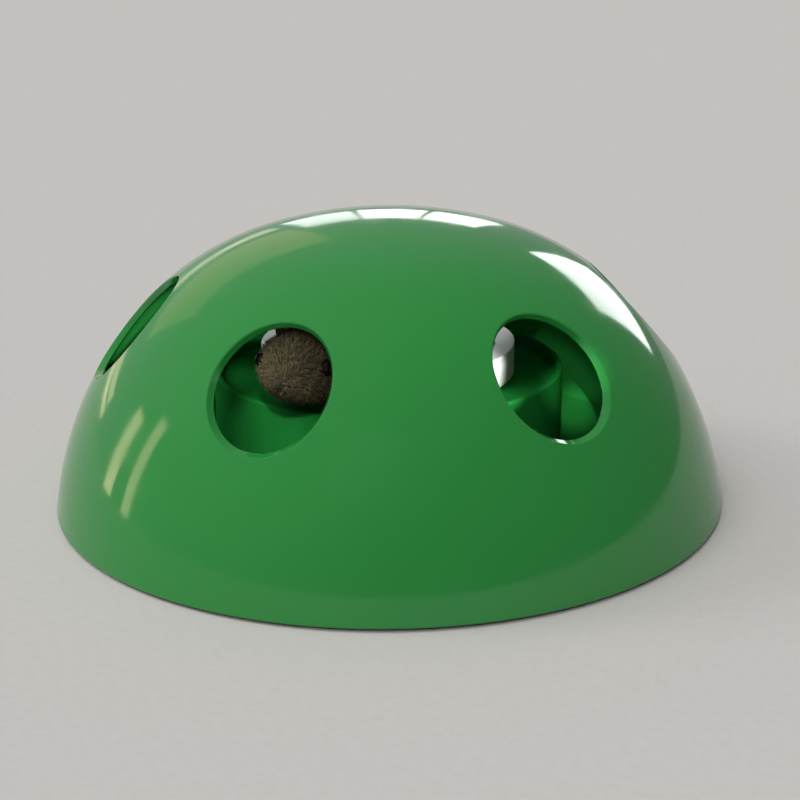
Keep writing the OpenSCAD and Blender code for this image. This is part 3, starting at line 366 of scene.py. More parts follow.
side_centre = Vector((shell_radius, shell_foot)) - side_radius * heading(foot_lean)
shoulder_centre = side_centre + (side_radius - shoulder_radius) * heading(side_end)
top_radius = shoulder_radius + shoulder_centre.x / math.cos(shoulder_end)
top_centre = shoulder_centre + (shoulder_radius - top_radius) * heading(shoulder_end)
arcs = [(side_centre, side_radius, side_end), (shoulder_centre, shoulder_radius, shoulder_end),
        (top_centre, top_radius, math.pi)]


def swing(turn, out, up):
    """A point or direction at this turn round the toy; turn 0 faces -Y."""
    return Vector((out * math.sin(turn), -out * math.cos(turn), up))


def wall_point(turn, slope, depth):
    """The point of the wall at this turn, slope and depth."""
    centre, radius, _ = next(arc for arc in arcs if slope < arc[2])
    out, up = centre + (radius - depth) * heading(slope)
    return swing(turn, max(out, 0), up)


def wall_place(point):
    """The turn, slope and depth of a point near the wall."""
    spot = Vector((math.hypot(point.x, point.y), point.z))
    for centre, radius, end in arcs:
        reach = spot - centre
        slope = math.atan2(reach.y, reach.x)
        if slope < end:
            break
    return math.atan2(point.x, -point.y), slope, radius - reach.length


print("shell height in mm:", round(wall_point(0, math.pi / 2, 0).z / mm, 2))

# %% [markdown]
# A hole is tilted a little upwards, and its edge is a bevel that is wider outside than inside, which frees
# the tool and leaves nothing sharp for a paw. Where the bevel meets the wall there is a small round, the path
# of a ball that rolls in the corner. A short search along the bore finds each ball's middle, as deep in the
# wall as the ball's own radius. The bevel is the line that touches both balls, and each round is an arc
# between the normal of the wall and the normal of the bevel.

# %% Rings round a hole
SEARCH_STEPS = 40
rim_radius, mouth_radius = 21.2 * mm, 19.5 * mm
hole_tilt = math.radians(16)
hole_height = 65.3 * mm
outer_round, inner_round = 0.6 * mm, 0.4 * mm
hole_out = shoulder_centre.x + math.sqrt(shoulder_radius ** 2 - (hole_height - shoulder_centre.y) ** 2)
hole_middle = Vector((0, -hole_out, hole_height))
bore_axis = Vector((0, -math.cos(hole_tilt), math.sin(hole_tilt)))
bore_up = Vector((0, math.sin(hole_tilt), math.cos(hole_tilt)))


def bore_point(spoke, radius, depth):
    """The point this far from the bore's axis, along a spoke, that lies this deep in the wall."""
    inside, outside = -rim_radius, rim_radius
    for _ in range(SEARCH_STEPS):
        middle = (inside + outside) / 2
        point = hole_middle + radius * spoke + middle * bore_axis
        if wall_place(point)[2] > depth:
            inside = middle
        else:
            outside = middle
    return point


def hole_section(angle, steps):
    """Points and normals from the outer wall over the bevel to the inner wall."""
    spoke = math.cos(angle) * Vector((1, 0, 0)) + math.sin(angle) * bore_up
    outer = bore_point(spoke, rim_radius, outer_round)
    inner = bore_point(spoke, mouth_radius + inner_round, wall - inner_round)
    slant = inner - outer
    along = (outer_round - inner_round) / slant.length
    slant.normalize()
    square = spoke * slant.dot(bore_axis) - bore_axis * slant.dot(spoke)
    bevel = square * math.sqrt(1 - along ** 2) + slant * along
    section = []
    for ball, size, face in ((outer, outer_round, 1), (inner, inner_round, -1)):
        turn, slope, _ = wall_place(ball)
        skin = face * swing(turn, math.cos(slope), math.sin(slope))
        sweep = [skin.slerp(bevel, i / steps) for i in range(steps + 1)]
        section += [(ball + size * way, way) for way in (sweep if face > 0 else reversed(sweep))]
    return section


print("hole middle in mm:", [round(v / mm, 2) for v in hole_middle])

# %% [markdown]
# The wall is then one mesh. Each sixth of it is a patch whose rings start at its hole and open out to the
# patch's four edges, so faces run neatly round the hole. Above the patches the wall closes to the crown, and
# below them it turns round its rounded foot. Corners that fall together are shared, and each carries the
# exact normal of its arc, so reflections glide over the shell without a ripple.

# %% Corners and faces of the shell
EDGE_STEPS = 18
ROUND_STEPS = 5
patch_low, patch_high = math.radians(13), math.radians(70)
sixth = math.radians(60)
same_place = 0.01 * mm
shell_corners, shell_normals, shell_faces = [], [], []
shared = {}


def corner(point, normal):
    """The number of this corner of the shell, which is made if it is new."""
    key = tuple(round(v / same_place) for v in point)
    if key not in shared:
        shared[key] = len(shell_corners)
        shell_corners.append(point)
        shell_normals.append(normal)
    return shared[key]


def wall_corner(turn, slope, depth):
    """A corner on the outer wall, or on the inner one."""
    normal = swing(turn, math.cos(slope), math.sin(slope))
    return corner(wall_point(turn, slope, depth), normal if depth == 0 else -normal)


def join(rows, closed=True):
    """Faces between each row of corners and the next, turned to face along their normals."""
    for low, high in zip(rows, rows[1:]):
        count = len(low) if closed else len(low) - 1
        for k in range(count):
            face = [low[k], low[(k + 1) % len(low)], high[(k + 1) % len(high)], high[k]]
            face = [c for i, c in enumerate(face) if c != face[i - 1]]
            a, b, c = (shell_corners[i] for i in face[:3])
            wanted = sum((shell_normals[i] for i in face), Vector())
            shell_faces.append(face if (b - a).cross(c - a).dot(wanted) > 0 else face[::-1])


def patch_edge(k):
    """Turn and slope of a place on a patch's edge, counted from its lower right corner."""
    side, step = divmod(k, EDGE_STEPS)
    share = step / EDGE_STEPS
    across, rise = [(1, share), (1 - 2 * share, 1), (-1, 1 - share), (2 * share - 1, 0)][side]
    return across * sixth / 2, patch_low + rise * (patch_high - patch_low)


loop = range(4 * EDGE_STEPS)
print("corners on a patch's edge:", len(loop))

# %% Six patches, each round its hole
PATCH_RINGS, RING_CROWDING = 11, 1.4
first_corner = math.radians(-45)
sections = [hole_section(first_corner + 2 * math.pi * k / len(loop), ROUND_STEPS) for k in loop]
for hole in range(6):
    aim = Matrix.Rotation(hole * sixth, 3, "Z")
    rings = [[corner(aim @ section[i][0], aim @ section[i][1]) for section in sections]
             for i in range(len(sections[0]))]
    for end, depth in ((0, 0.0), (-1, wall)):
        fan = [rings[end]]
        for ring in range(1, PATCH_RINGS + 1):
            share = (ring / PATCH_RINGS) ** RING_CROWDING
            row = []
            for k in loop:
                turn, slope, _ = wall_place(sections[k][end][0])
                edge_turn, edge_slope = patch_edge(k)
                row.append(wall_corner(hole * sixth + turn + share * (edge_turn - turn),
                                       slope + share * (edge_slope - slope), depth))
            fan.append(row)
        join(fan)
    join(rings)
print("corners of the patches:", len(shell_corners))

# %% Crown and foot
CROWN_ROWS = 10
foot_round = 0.8 * mm
turns = [sixth * (k / EDGE_STEPS - 0.5) for k in range(6 * EDGE_STEPS)]
for depth in (0.0, wall):
    crown = [[wall_corner(turn, patch_high + (math.pi / 2 - patch_high) * row / CROWN_ROWS, depth)
              for turn in turns] for row in range(CROWN_ROWS + 1)]
    join(crown)
foot_rows = []
for depth, face in ((foot_round, 1), (wall - foot_round, -1)):
    foot_slope = math.asin((shell_foot + foot_round - side_centre.y) / (side_radius - depth))
    out, up = side_centre + (side_radius - depth) * heading(foot_slope)
    ends = (foot_slope, -math.pi / 2) if face > 0 else (-math.pi / 2, foot_slope - math.pi)
    for step in range(ROUND_STEPS + 1):
        way = heading(ends[0] + (ends[1] - ends[0]) * step / ROUND_STEPS)
        foot_rows.append([corner(swing(turn, out + foot_round * way.x, up + foot_round * way.y),
                                 swing(turn, way.x, way.y)) for turn in turns])
join([[wall_corner(turn, patch_low, 0.0) for turn in turns], *foot_rows,
      [wall_corner(turn, patch_low, wall) for turn in turns]])
print("shell corners and faces:", len(shell_corners), len(shell_faces))

# %% [markdown]
# A helper turns corners and faces into a piece: it makes the mesh, gives it its finish and lets it ride on a
# body of the CAD model. The shell stands for the CAD solid of the cover, which MuJoCo keeps for its
# collisions.

# %% Make pieces
def show(name, data):
    """A new object in the scene, made of a mesh, a lamp or a camera."""
    made = bpy.data.objects.new(name, data)
    bpy.context.scene.collection.objects.link(made)
    return made


def new_piece(name, corners, faces, material, body):
    """A smooth-shaded piece that rides on a body of the toy."""
    mesh = bpy.data.meshes.new(name)
    mesh.from_pydata(corners, [], faces)
    mesh.shade_smooth()
    mesh.materials.append(material)
    piece = show(name, mesh)
    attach(piece, body)
    return piece


shell = new_piece("shell", shell_corners, shell_faces, polished_abs_green, "dome")
shell.data.normals_split_custom_set_from_vertices(shell_normals)
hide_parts("dome_cover")
print("shell riding on the dome:", len(shell.data.polygons), "faces")

# %% [markdown]
# Inside the foot, six tabs seat the shell on the base plate. They are moulded with the wall, so they start in
# it. A rounded block is a cube whose edges are bevelled, which bmesh does in one call. Corners that would
# come out through the wall are drawn back to its middle.

# %% Seat tabs
tab_width, tab_length, tab_height = 12 * mm, 8 * mm, 10 * mm
tab_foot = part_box("base_plate")[1].z
tab_root = 0.6 * wall
tab_round = 0.6 * mm
blocks = bmesh.new()
_, tab_slope, _ = wall_place(swing(0, shell_radius - wall, tab_foot))
tab_out = wall_point(0, tab_slope, wall).xy.length
for k in range(6):
    made = bmesh.ops.create_cube(blocks, size=1)
    middle = swing((k + 0.5) * sixth, tab_out - (tab_length - tab_root) / 2, tab_foot + tab_height / 2)
    place = Matrix.LocRotScale(middle, Euler((0, 0, (k + 0.5) * sixth)),
                               Vector((tab_width, tab_length + tab_root, tab_height)))
    bmesh.ops.transform(blocks, matrix=place, verts=made["verts"])
bmesh.ops.bevel(blocks, geom=blocks.edges[:], offset=tab_round, segments=BEVEL_CUTS, affect="EDGES",
                profile=0.5)
for vertex in blocks.verts:
    turn, slope, depth = wall_place(vertex.co)
    if depth < wall / 2:
        vertex.co = wall_point(turn, slope, wall / 2)
tab_mesh = bpy.data.meshes.new("seat_tabs")
blocks.to_mesh(tab_mesh)
blocks.free()
tab_mesh.materials.append(polished_abs_green)
tabs = show("seat_tabs", tab_mesh)
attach(tabs, "dome")
print("seat tabs:", len(tab_mesh.polygons), "faces")

# %% [markdown]
# ## The plush mouse
# The mouse is a stuffed bag of plush on a peg, with no seams to be seen under its pile. Its form is a body
# and a head that flow into each other, the same formula as in the CAD model, drawn finer and a little lumpy
# from its stuffing. Cloth physics could puff it up, but a bag this small and tight keeps its cut form, so
# the bumps are added by listed waves: how high they are, how many go round, and their pitch along it.

# %% The mouse's form
body_box, head_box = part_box("mouse_body"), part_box("mouse_head")
mouse_back = body_box[1].y
mouse_length = mouse_back - head_box[0].y
mouse_level = (body_box[0].z + body_box[1].z) / 2
body_length, head_length = 46 * mm, 33 * mm
head_start = mouse_length - head_length
body_size, head_size = (33 * mm, 26 * mm), (31 * mm, 25 * mm)
body_peak, body_fullness = 0.8, 0.55
head_peak, head_fullness = 0.72, 0.75
MERGE = 6
head_drop = 0.5 * mm
skin_inset = 0.7 * mm
stuffing_waves = ((0.012, 3, 5 * mm), (0.01, 5, -3.5 * mm))


def lobe(share, peak, fullness):
    """A rounded swelling from 0 to 1 and back, over a share that runs from 0 to 1."""
    inside = np.clip(share, 0, 1)
    return np.maximum(np.sin(np.pi * inside ** peak), 0) ** fullness


def mouse_skin(along, angle):
    """Points of the skin, this far from the back and at this angle round the body."""
    body = lobe(along / body_length, body_peak, body_fullness)
    head = lobe((along - head_start) / head_length, head_peak, head_fullness)
    inset = skin_inset * np.minimum(1, body + head)
    wide, tall = [((b / 2 * body) ** MERGE + (h / 2 * head) ** MERGE) ** (1 / MERGE) - inset
                  for b, h in zip(body_size, head_size)]
    lump = 1
    for height, count, pitch in stuffing_waves:
        lump = lump + height * np.sin(count * angle + along / pitch)
    drop = head_drop * np.maximum(0, along - head_start) / head_length
    return np.stack([wide * lump * np.cos(angle), mouse_back - along,
                     mouse_level - drop + tall * lump * np.sin(angle)], axis=-1)


print("mouse length in mm:", round(mouse_length / mm, 1))

# %% The mouse's skin
SKIN_ROWS, SKIN_SIDES = 48, 40
POLE_GAP = 0.04


def band_faces(rows, sides):
    """Four-sided faces between closed rows of corners, each row as long as the others."""
    return [[i * sides + k, i * sides + (k + 1) % sides, (i + 1) * sides + (k + 1) % sides,
             (i + 1) * sides + k] for i in range(rows - 1) for k in range(sides)]


steps_along = mouse_length * (1 - np.cos(np.linspace(POLE_GAP, np.pi - POLE_GAP, SKIN_ROWS))) / 2
angles = np.linspace(0, 2 * np.pi, SKIN_SIDES, endpoint=False)
skin_points = mouse_skin(*np.meshgrid(steps_along, angles, indexing="ij")).reshape(-1, 3).tolist()
skin_faces = band_faces(SKIN_ROWS, SKIN_SIDES)
skin_faces += [list(range(SKIN_SIDES))[::-1],
               [(SKIN_ROWS - 1) * SKIN_SIDES + k for k in range(SKIN_SIDES)]]
skin = new_piece("mouse_skin", skin_points, [f[::-1] for f in skin_faces], knitted_backing_brown, "mouse")
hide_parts("mouse_body", "mouse_head")
print("skin:", len(skin_faces), "faces")

# %% [markdown]
# Each hair of the pile is a thin closed spike with three sides, bent once: it leaves the knit steeply and
# then lies back along the body. A particle system could grow them, but its hairs would not be exported, so
# they are worked out here as one array of corners. The places and lengths come from a random generator with
# a fixed seed, so every run grows the same coat.

# %% Strands
STRAND_CORNERS = 7
BEND_THICK, BEND_SHARE = 0.8, 0.55
UPRIGHT = 0.9


def unit(vectors):
    """These vectors, each made one long."""
    return vectors / np.linalg.norm(vectors, axis=-1, keepdims=True)


def grow(name, roots, bends, tips, thick, chance, material, body):
    """One piece of many closed, three-sided strands, each from a root over a bend to a tip."""
    way = unit(tips - roots)
    helper = np.where(np.abs(way[:, 2:]) < UPRIGHT, [[0.0, 0.0, 1.0]], [[1.0, 0.0, 0.0]])
    side = unit(np.cross(way, helper))
    other = np.cross(way, side)
    ring = [np.cos(a) * side + np.sin(a) * other for a in (0, 2 * np.pi / 3, 4 * np.pi / 3)]
    points = np.stack([roots + r * thick[:, None] for r in ring]
                      + [bends + r * thick[:, None] * BEND_THICK for r in ring] + [tips], axis=1)
    one = [(2, 1, 0), (0, 1, 4, 3), (1, 2, 5, 4), (2, 0, 3, 5), (3, 4, 6), (4, 5, 6), (5, 3, 6)]
    faces = [[STRAND_CORNERS * i + c for c in face] for i in range(len(roots)) for face in one]
    piece = new_piece(name, points.reshape(-1, 3).tolist(), faces, material, body)
    along = np.tile([0, 0, 0, BEND_SHARE, BEND_SHARE, BEND_SHARE, 1.0], len(roots))
    for label, values in (("along", along), ("chance", np.repeat(chance, STRAND_CORNERS))):
        carried = piece.data.attributes.new(label, "FLOAT", "POINT")
        carried.data.foreach_set("value", values.astype(np.float32))
    return piece


print("corners of one strand:", STRAND_CORNERS)

# %% [markdown]
# The coat is thickest on the body and short on the snout. Hairs keep off the bead eyes and are cropped round
# the ears, whose places come from the CAD model. The belly's hairs are short, so that they clear the rotor,
# and hairs that stand out further than the hole is wide are brushed down, as its edge would do.

# %% Where the hairs grow
HAIRS = 19000
TRIES = 3 * HAIRS
HAIRY_SHARE = (0.01, 0.99)
bead_gap = 0.1 * mm
ear_bare = 4.5 * mm
chooser = np.random.default_rng(11)
eye_low, eye_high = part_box("mouse_eyes")
eye_radius = (eye_high.z - eye_low.z) / 2
eyes = [np.array([side * (eye_high.x - eye_radius), *((eye_low + eye_high) / 2).yz]) for side in (-1, 1)]
ears = [np.array((low + high) / 2) for low, high in (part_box("mouse_left_ear"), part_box("mouse_right_ear"))]


def room_from(points, middles, radius):
    """How far each point is from the nearest of some balls of this radius."""
    return np.min([np.linalg.norm(points - middle, axis=1) for middle in middles], axis=0) - radius


hair_along = chooser.uniform(*HAIRY_SHARE, TRIES) * mouse_length
hair_angle = chooser.uniform(0, 2 * np.pi, TRIES)
girth = np.linalg.norm(mouse_skin(hair_along, hair_angle) - mouse_skin(hair_along, hair_angle + np.pi),
                       axis=1)
kept = chooser.uniform(0, 1, TRIES) * girth.max() < girth
hair_along, hair_angle = hair_along[kept][:HAIRS], hair_angle[kept][:HAIRS]
small, small_turn = 0.05 * mm, 0.01
root = mouse_skin(hair_along, hair_angle)
back = mouse_skin(hair_along - small, hair_angle) - mouse_skin(hair_along + small, hair_angle)
across = mouse_skin(hair_along, hair_angle + small_turn) - mouse_skin(hair_along, hair_angle - small_turn)
out, back = unit(np.cross(back, across)), unit(back)
eye_room, ear_room = room_from(root, eyes, eye_radius), room_from(root, ears, ear_bare)
clear = eye_room > bead_gap
hair_along, root, out, back, eye_room, ear_room = (
    values[clear] for values in (hair_along, root, out, back, eye_room, ear_room))
print("hairs on the mouse:", len(root))

# %% How the hairs lie
HAIR_MM, HAIR_THICK_MM, ROOT_DEEP_MM = (2.2, 3.8), (0.08, 0.13), 0.2
BY_EYE_MM, BY_EAR_MM, EAR_REGROWTH = 2, 0.9, 0.6
SNOUT_FROM, SNOUT_RUN, SNOUT_TRIM, BELLY_TRIM = 0.6, 0.35, 0.3, 0.4
LEAVE_OUT, LEAVE_BACK, LIE_OUT, LIE_BACK, STRAY = 0.95, 0.4, 0.55, 0.7, 0.28
brush_gap = 0.5 * mm
snout = np.clip((hair_along / mouse_length - SNOUT_FROM) / SNOUT_RUN, 0, 1)
belly = np.clip(-out[:, 2], 0, 1)
long = chooser.uniform(*HAIR_MM, len(root)) * mm * (1 - SNOUT_TRIM * snout) * (1 - BELLY_TRIM * belly)
long = np.minimum(np.minimum(long, BY_EYE_MM * mm + eye_room),
                  BY_EAR_MM * mm + EAR_REGROWTH * np.maximum(0, ear_room))
stray = chooser.normal(0, STRAY, (len(root), 3))
bend = root + unit(out * LEAVE_OUT + back * LEAVE_BACK + stray) * long[:, None] * 0.5
tip = bend + unit(out * LIE_OUT + back * LIE_BACK + stray) * long[:, None] * 0.5
hole_top = min(point.z for point, _ in hole_section(math.pi / 2, 1))
hole_bottom = max(point.z for point, _ in hole_section(-math.pi / 2, 1))
clear_level = (hole_top + hole_bottom) / 2
clear_wide, clear_tall = mouth_radius - brush_gap, (hole_top - hole_bottom) / 2 - brush_gap
for points in (bend, tip):
    spread = np.hypot(points[:, 0] / clear_wide, (points[:, 2] - clear_level) / clear_tall)
    pull = np.minimum(1, 1 / spread)
    points[:, 0] *= pull
    points[:, 2] = clear_level + (points[:, 2] - clear_level) * pull
grow("mouse_coat", root - out * ROOT_DEEP_MM * mm, bend, tip, chooser.uniform(*HAIR_THICK_MM, len(root)) * mm,
     chooser.uniform(0, 1, len(root)), brushed_pile_brown, "mouse")
print("longest hair in mm:", round(long.max() / mm, 2))

# %% [markdown]
# The ears are two layers of cloth sewn back to back and cupped forward: plush behind, felt in front. Each is
# built as rings that run from the middle of its face over its thick edge to the middle of its back, then
# placed where the CAD ear is. A few hairs soften its back and rim.

# %% An ear's form
EAR_RINGS, EAR_SIDES = 9, 28
RIM_SQUARENESS = 6
ear_cup, ear_thick = 1.4 * mm, 1.1 * mm
ear_lean, ear_splay = math.radians(12), math.radians(18)
shares = [math.sin(math.pi / 2 * i / EAR_RINGS) for i in range(1, EAR_RINGS + 1)]
ear_rows = [(s, True) for s in shares] + [(s, False) for s in reversed(shares[:-1])]


def ear_bow(share):
    """How far an ear is bowed forward, this share of the way from its middle to its rim."""
    return ear_cup * (share ** 2 - 0.5)


def ear_point(radius, share, angle, front):
    """A point on the front or the back of an ear that faces -Y."""
    half = ear_thick / 2 * math.sqrt(max(0.0, 1 - share ** RIM_SQUARENESS))
    return Vector((radius * share * math.cos(angle), -ear_bow(share) + (-half if front else half),
                   radius * share * math.sin(angle)))


print("rings of an ear:", len(ear_rows))

# %% Both ears
TUFTS = 500
TUFT_MM, TUFT_THICK_MM, TUFT_STRAY = (1.0, 2.0), (0.05, 0.09), 0.25
TUFT_LEAVES, TUFT_LIES = (0.6, 0.6), (0.2, 0.9)
FELT_SHARE, TUFT_AREA = 0.85, (0.1, 1)
for label, side in (("left", -1), ("right", 1)):
    low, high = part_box("mouse_%s_ear" % label)
    ear_radius = (high.z - low.z) / 2 / math.cos(ear_lean)
    place = Matrix.Translation((low + high) / 2) @ Euler((ear_lean, 0, side * ear_splay)).to_matrix().to_4x4()
    points = [place @ ear_point(ear_radius, s, 2 * math.pi * k / EAR_SIDES, front)
              for s, front in ear_rows for k in range(EAR_SIDES)]
    points += [place @ ear_point(ear_radius, 0, 0, front) for front in (True, False)]
    last = (len(ear_rows) - 1) * EAR_SIDES
    faces = band_faces(len(ear_rows), EAR_SIDES)
    faces += [[len(points) - 2, (k + 1) % EAR_SIDES, k] for k in range(EAR_SIDES)]
    faces += [[len(points) - 1, last + k, last + (k + 1) % EAR_SIDES] for k in range(EAR_SIDES)]
    ear = new_piece("mouse_%s_ear_cup" % label, points, faces, knitted_backing_brown, "mouse")
    ear.data.materials.append(pressed_felt_tan)
    for face in ear.data.polygons:
        middle = place.inverted() @ face.center
        share = middle.xz.length / ear_radius
        face.material_index = int(middle.y < -ear_bow(share) and share < FELT_SHARE)
    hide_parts("mouse_%s_ear" % label)
    spots = np.sqrt(chooser.uniform(*TUFT_AREA, TUFTS))
    tuft_turns = chooser.uniform(0, 2 * np.pi, TUFTS)
    start = np.array([place @ ear_point(ear_radius, s, a, False) for s, a in zip(spots, tuft_turns)])
    behind = np.array(place.to_3x3() @ Vector((0, 1, 0)))
    outward = np.array([place.to_3x3() @ Vector((math.cos(a), 0, math.sin(a))) for a in tuft_turns])
    stray = chooser.normal(0, TUFT_STRAY, (TUFTS, 3))
    long = chooser.uniform(*TUFT_MM, TUFTS)[:, None] * mm
    bend = start + (behind * TUFT_LEAVES[0] + outward * TUFT_LEAVES[1] + stray) * long * 0.5
    end = bend + (behind * TUFT_LIES[0] + outward * TUFT_LIES[1] + stray) * long * 0.5
    grow("mouse_%s_ear_tufts" % label, start, bend, end, chooser.uniform(*TUFT_THICK_MM, TUFTS) * mm,
         chooser.uniform(0, 1, TUFTS), brushed_pile_brown, "mouse")
print("ears made, radius in mm:", round(ear_radius / mm, 2))

# %% [markdown]
# ## The feather
# A feather is a tapered shaft with two rows of barbs, which leave it at a slant and curve towards the tip,
# and loose down at its foot. The same closed strands that made the coat make the barbs, flat enough side by
# side to close into a vane. Its outline is the CAD vane's.

# %% The feather's shaft
vane_low, vane_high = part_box("feather_vane")
quill_low, quill_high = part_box("feather_quill")
vane_foot, vane_length = vane_low.y, vane_high.y - vane_low.y
vane_half = (vane_high.z - vane_low.z) / 2
feather_level = (vane_low.z + vane_high.z) / 2
quill_radius = (quill_high.x - quill_low.x) / 2
SHAFT_ROWS, SHAFT_SIDES = 16, 10
SHAFT_TAPER, TAPER_CURVE = 0.8, 1.5
shaft_points = []
for i in range(SHAFT_ROWS + 1):
    share = i / SHAFT_ROWS
    thick = quill_radius * (1 - SHAFT_TAPER * share ** TAPER_CURVE)
    y = quill_low.y + (quill_high.y - quill_low.y) * share
    shaft_points += [(thick * math.cos(a), y, feather_level + thick * math.sin(a))
                     for a in (2 * math.pi * k / SHAFT_SIDES for k in range(SHAFT_SIDES))]
shaft_faces = [face[:1] + face[:0:-1] for face in band_faces(SHAFT_ROWS + 1, SHAFT_SIDES)]
shaft_faces += [list(range(SHAFT_SIDES)), [SHAFT_ROWS * SHAFT_SIDES + k for k in range(SHAFT_SIDES)][::-1]]
shaft = new_piece("feather_shaft", shaft_points, shaft_faces, horn_shaft_ivory, "feather")
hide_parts("feather_quill")
print("shaft length in mm:", round((quill_high.y - quill_low.y) / mm, 1))

# %% Barbs and down
BARBS, DOWN = 130, 160
barb_first, barb_last, barb_slant = 0.02, 0.86, 0.14
vane_peak, vane_fullness, vane_fringe = 0.8, 0.7, 0.6 * mm
barb_thick, down_thick = 0.3 * mm, 0.07 * mm
barb_rise, barb_sag, barb_sway_mm = 0.3 * mm, 0.5 * mm, 0.25
bend_along, bend_across, barb_curl = 0.45, 0.55, 0.35
DOWN_MM, DOWN_SHARE, DOWN_PALE = (4, 3), (0.0, 0.25), (0.4, 1)
down_spread, down_forward, down_curl = [0.6, 0.25, 1.0], [0, 0.5, 0], 0.6


def on_shaft(share):
    """Points on the shaft, this share of the way along the vane."""
    return np.stack([0 * share, vane_foot + share * vane_length, feather_level + 0 * share], axis=1)


share = np.tile(np.linspace(barb_first, barb_last, BARBS), 2)
hand = np.repeat([-1.0, 1.0], BARBS)
reach = np.minimum(share + barb_slant, 1)
half = vane_half * lobe(reach, vane_peak, vane_fullness) + vane_fringe
sway = chooser.normal(0, barb_sway_mm, 2 * BARBS) * mm
start = on_shaft(share)
bend = start + np.stack([barb_rise + sway, half * bend_along, hand * half * bend_across], axis=1)
end = start + np.stack([2 * sway - barb_sag, (reach - share) * vane_length + half * barb_curl, hand * half],
                       axis=1)
end[:, 1] = np.minimum(end[:, 1], vane_high.y)
barbs = grow("feather_barbs", start, bend, end, np.full(2 * BARBS, barb_thick),
             chooser.uniform(0, 1, 2 * BARBS), natural_barbs_chestnut, "feather")
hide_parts("feather_vane")
start = on_shaft(chooser.uniform(*DOWN_SHARE, DOWN))
loose = unit(chooser.normal(0, 1, (DOWN, 3)) * down_spread + down_forward)
bend = start + loose * DOWN_MM[0] * mm
end = bend + (loose + chooser.normal(0, down_curl, (DOWN, 3))) * DOWN_MM[1] * mm
grow("feather_down", start, bend, end, np.full(DOWN, down_thick), chooser.uniform(*DOWN_PALE, DOWN),
     natural_barbs_chestnut, "feather")
print("barbs:", 2 * BARBS, "down:", DOWN)

# %% [markdown]
# ## Stage and light
# The stage is a pale floor. The light is plain and soft: a grey sky that is brighter on the left, and three
# wide, distant lamps from above, from the front and from the left, which light the whole floor evenly. A
# glossy shell is drawn by what it mirrors, so panels like windows stand behind and to the left of it, and it
# mirrors them as streaks on its crown, its right shoulder and its left side. To keep the two jobs apart, the
# lamps aren't mirrored and the panels don't light. A panel's power is worked out from how bright it looks.

# %% Floor
FLOOR_RADIUS, FLOOR_SIDES = 60, 96
SPECKLE_MM = 3
floor_mesh = bpy.data.meshes.new("floor")
disc = bmesh.new()
bmesh.ops.create_circle(disc, cap_ends=True, radius=FLOOR_RADIUS, segments=FLOOR_SIDES)
disc.to_mesh(floor_mesh)
disc.free()
floor = show("floor", floor_mesh)
floor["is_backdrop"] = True
# A matte painted board: pale, warm grey and without shine.
painted_board, board_tree, board_shader = finish("painted_board", "#c4c1bd", 0.9, {"Specular IOR Level": 0.0})
speckle = add(board_tree, "ShaderNodeTexNoise", {"Scale": repeats(SPECKLE_MM), "Detail": 3.0,
              "Vector": add(board_tree, "ShaderNodeTexCoord", {}).outputs["Object"]})
paint = add(board_tree, "ShaderNodeMix", {MIX_FACTOR: speckle.outputs["Fac"], MIX_FIRST: linear("#bfbcb8"),
                                          MIX_SECOND: linear("#c9c6c2")}, data_type="RGBA")
plug(board_shader, {"Base Color": paint.outputs[MIX_RESULT]})
floor_mesh.materials.append(painted_board)
print("floor radius in metres:", FLOOR_RADIUS)

# %% Sky
SKY_DIM, SKY_BRIGHT = 0.18, 0.48
GLOW_STARTS, GLOW_FULL = -0.5, 1.0
bright_side = (-0.936, 0.082, 0.342)
sky = bpy.data.worlds.new("studio")
bpy.context.scene.world = sky
sky.use_nodes = True
sky_tree = sky.node_tree
leftward = add(sky_tree, "ShaderNodeVectorMath", {
    0: add(sky_tree, "ShaderNodeTexCoord", {}).outputs["Generated"], 1: bright_side}, operation="DOT_PRODUCT")
glow = add(sky_tree, "ShaderNodeMapRange", {"Value": leftward.outputs["Value"], "From Min": GLOW_STARTS,
                                            "From Max": GLOW_FULL, "To Min": SKY_DIM, "To Max": SKY_BRIGHT})
plug(sky_tree.nodes["Background"], {"Strength": glow.outputs["Result"], "Color": linear("#fbfcff")})
print("sky from", SKY_DIM, "to", SKY_BRIGHT)

# %% Lamps and panels
LAMP_AWAY = 1.6
lamp_aim = Vector((0, 0, 60 * mm))
daylight, sunlight = "#fdfeff", "#ffe7b8"


def hang(lamp, aim, away, turn, rise):
    """Hangs a lamp this far from the point it faces, at this turn and rise in degrees."""
    way = swing(math.radians(turn), math.cos(math.radians(rise)), math.sin(math.radians(rise)))
    hung = show(lamp.name, lamp)
    hung.location = aim + away * way
    hung.rotation_euler = way.to_track_quat("Z", "Y").to_euler()
    return hung


def sun(name, turn, rise, strength, spread):
    """A distant soft lamp, which lights and is not mirrored."""
    lamp = bpy.data.lights.new(name, "SUN")
    lamp.energy = strength
    lamp.angle = math.radians(spread)
    hang(lamp, lamp_aim, LAMP_AWAY, turn, rise).visible_glossy = False


def panel(name, turn, rise, size, brightness, colour):
    """A window-like panel, which is mirrored and lights nothing."""
    lamp = bpy.data.lights.new(name, "AREA")
    lamp.shape = "RECTANGLE"
    lamp.size, lamp.size_y = size
    lamp.energy = brightness * math.pi * size[0] * size[1]
    lamp.color = linear(colour)[:3]
    hung = hang(lamp, lamp_aim, LAMP_AWAY, turn, rise)
    hung.visible_camera = False
    hung.visible_diffuse = False


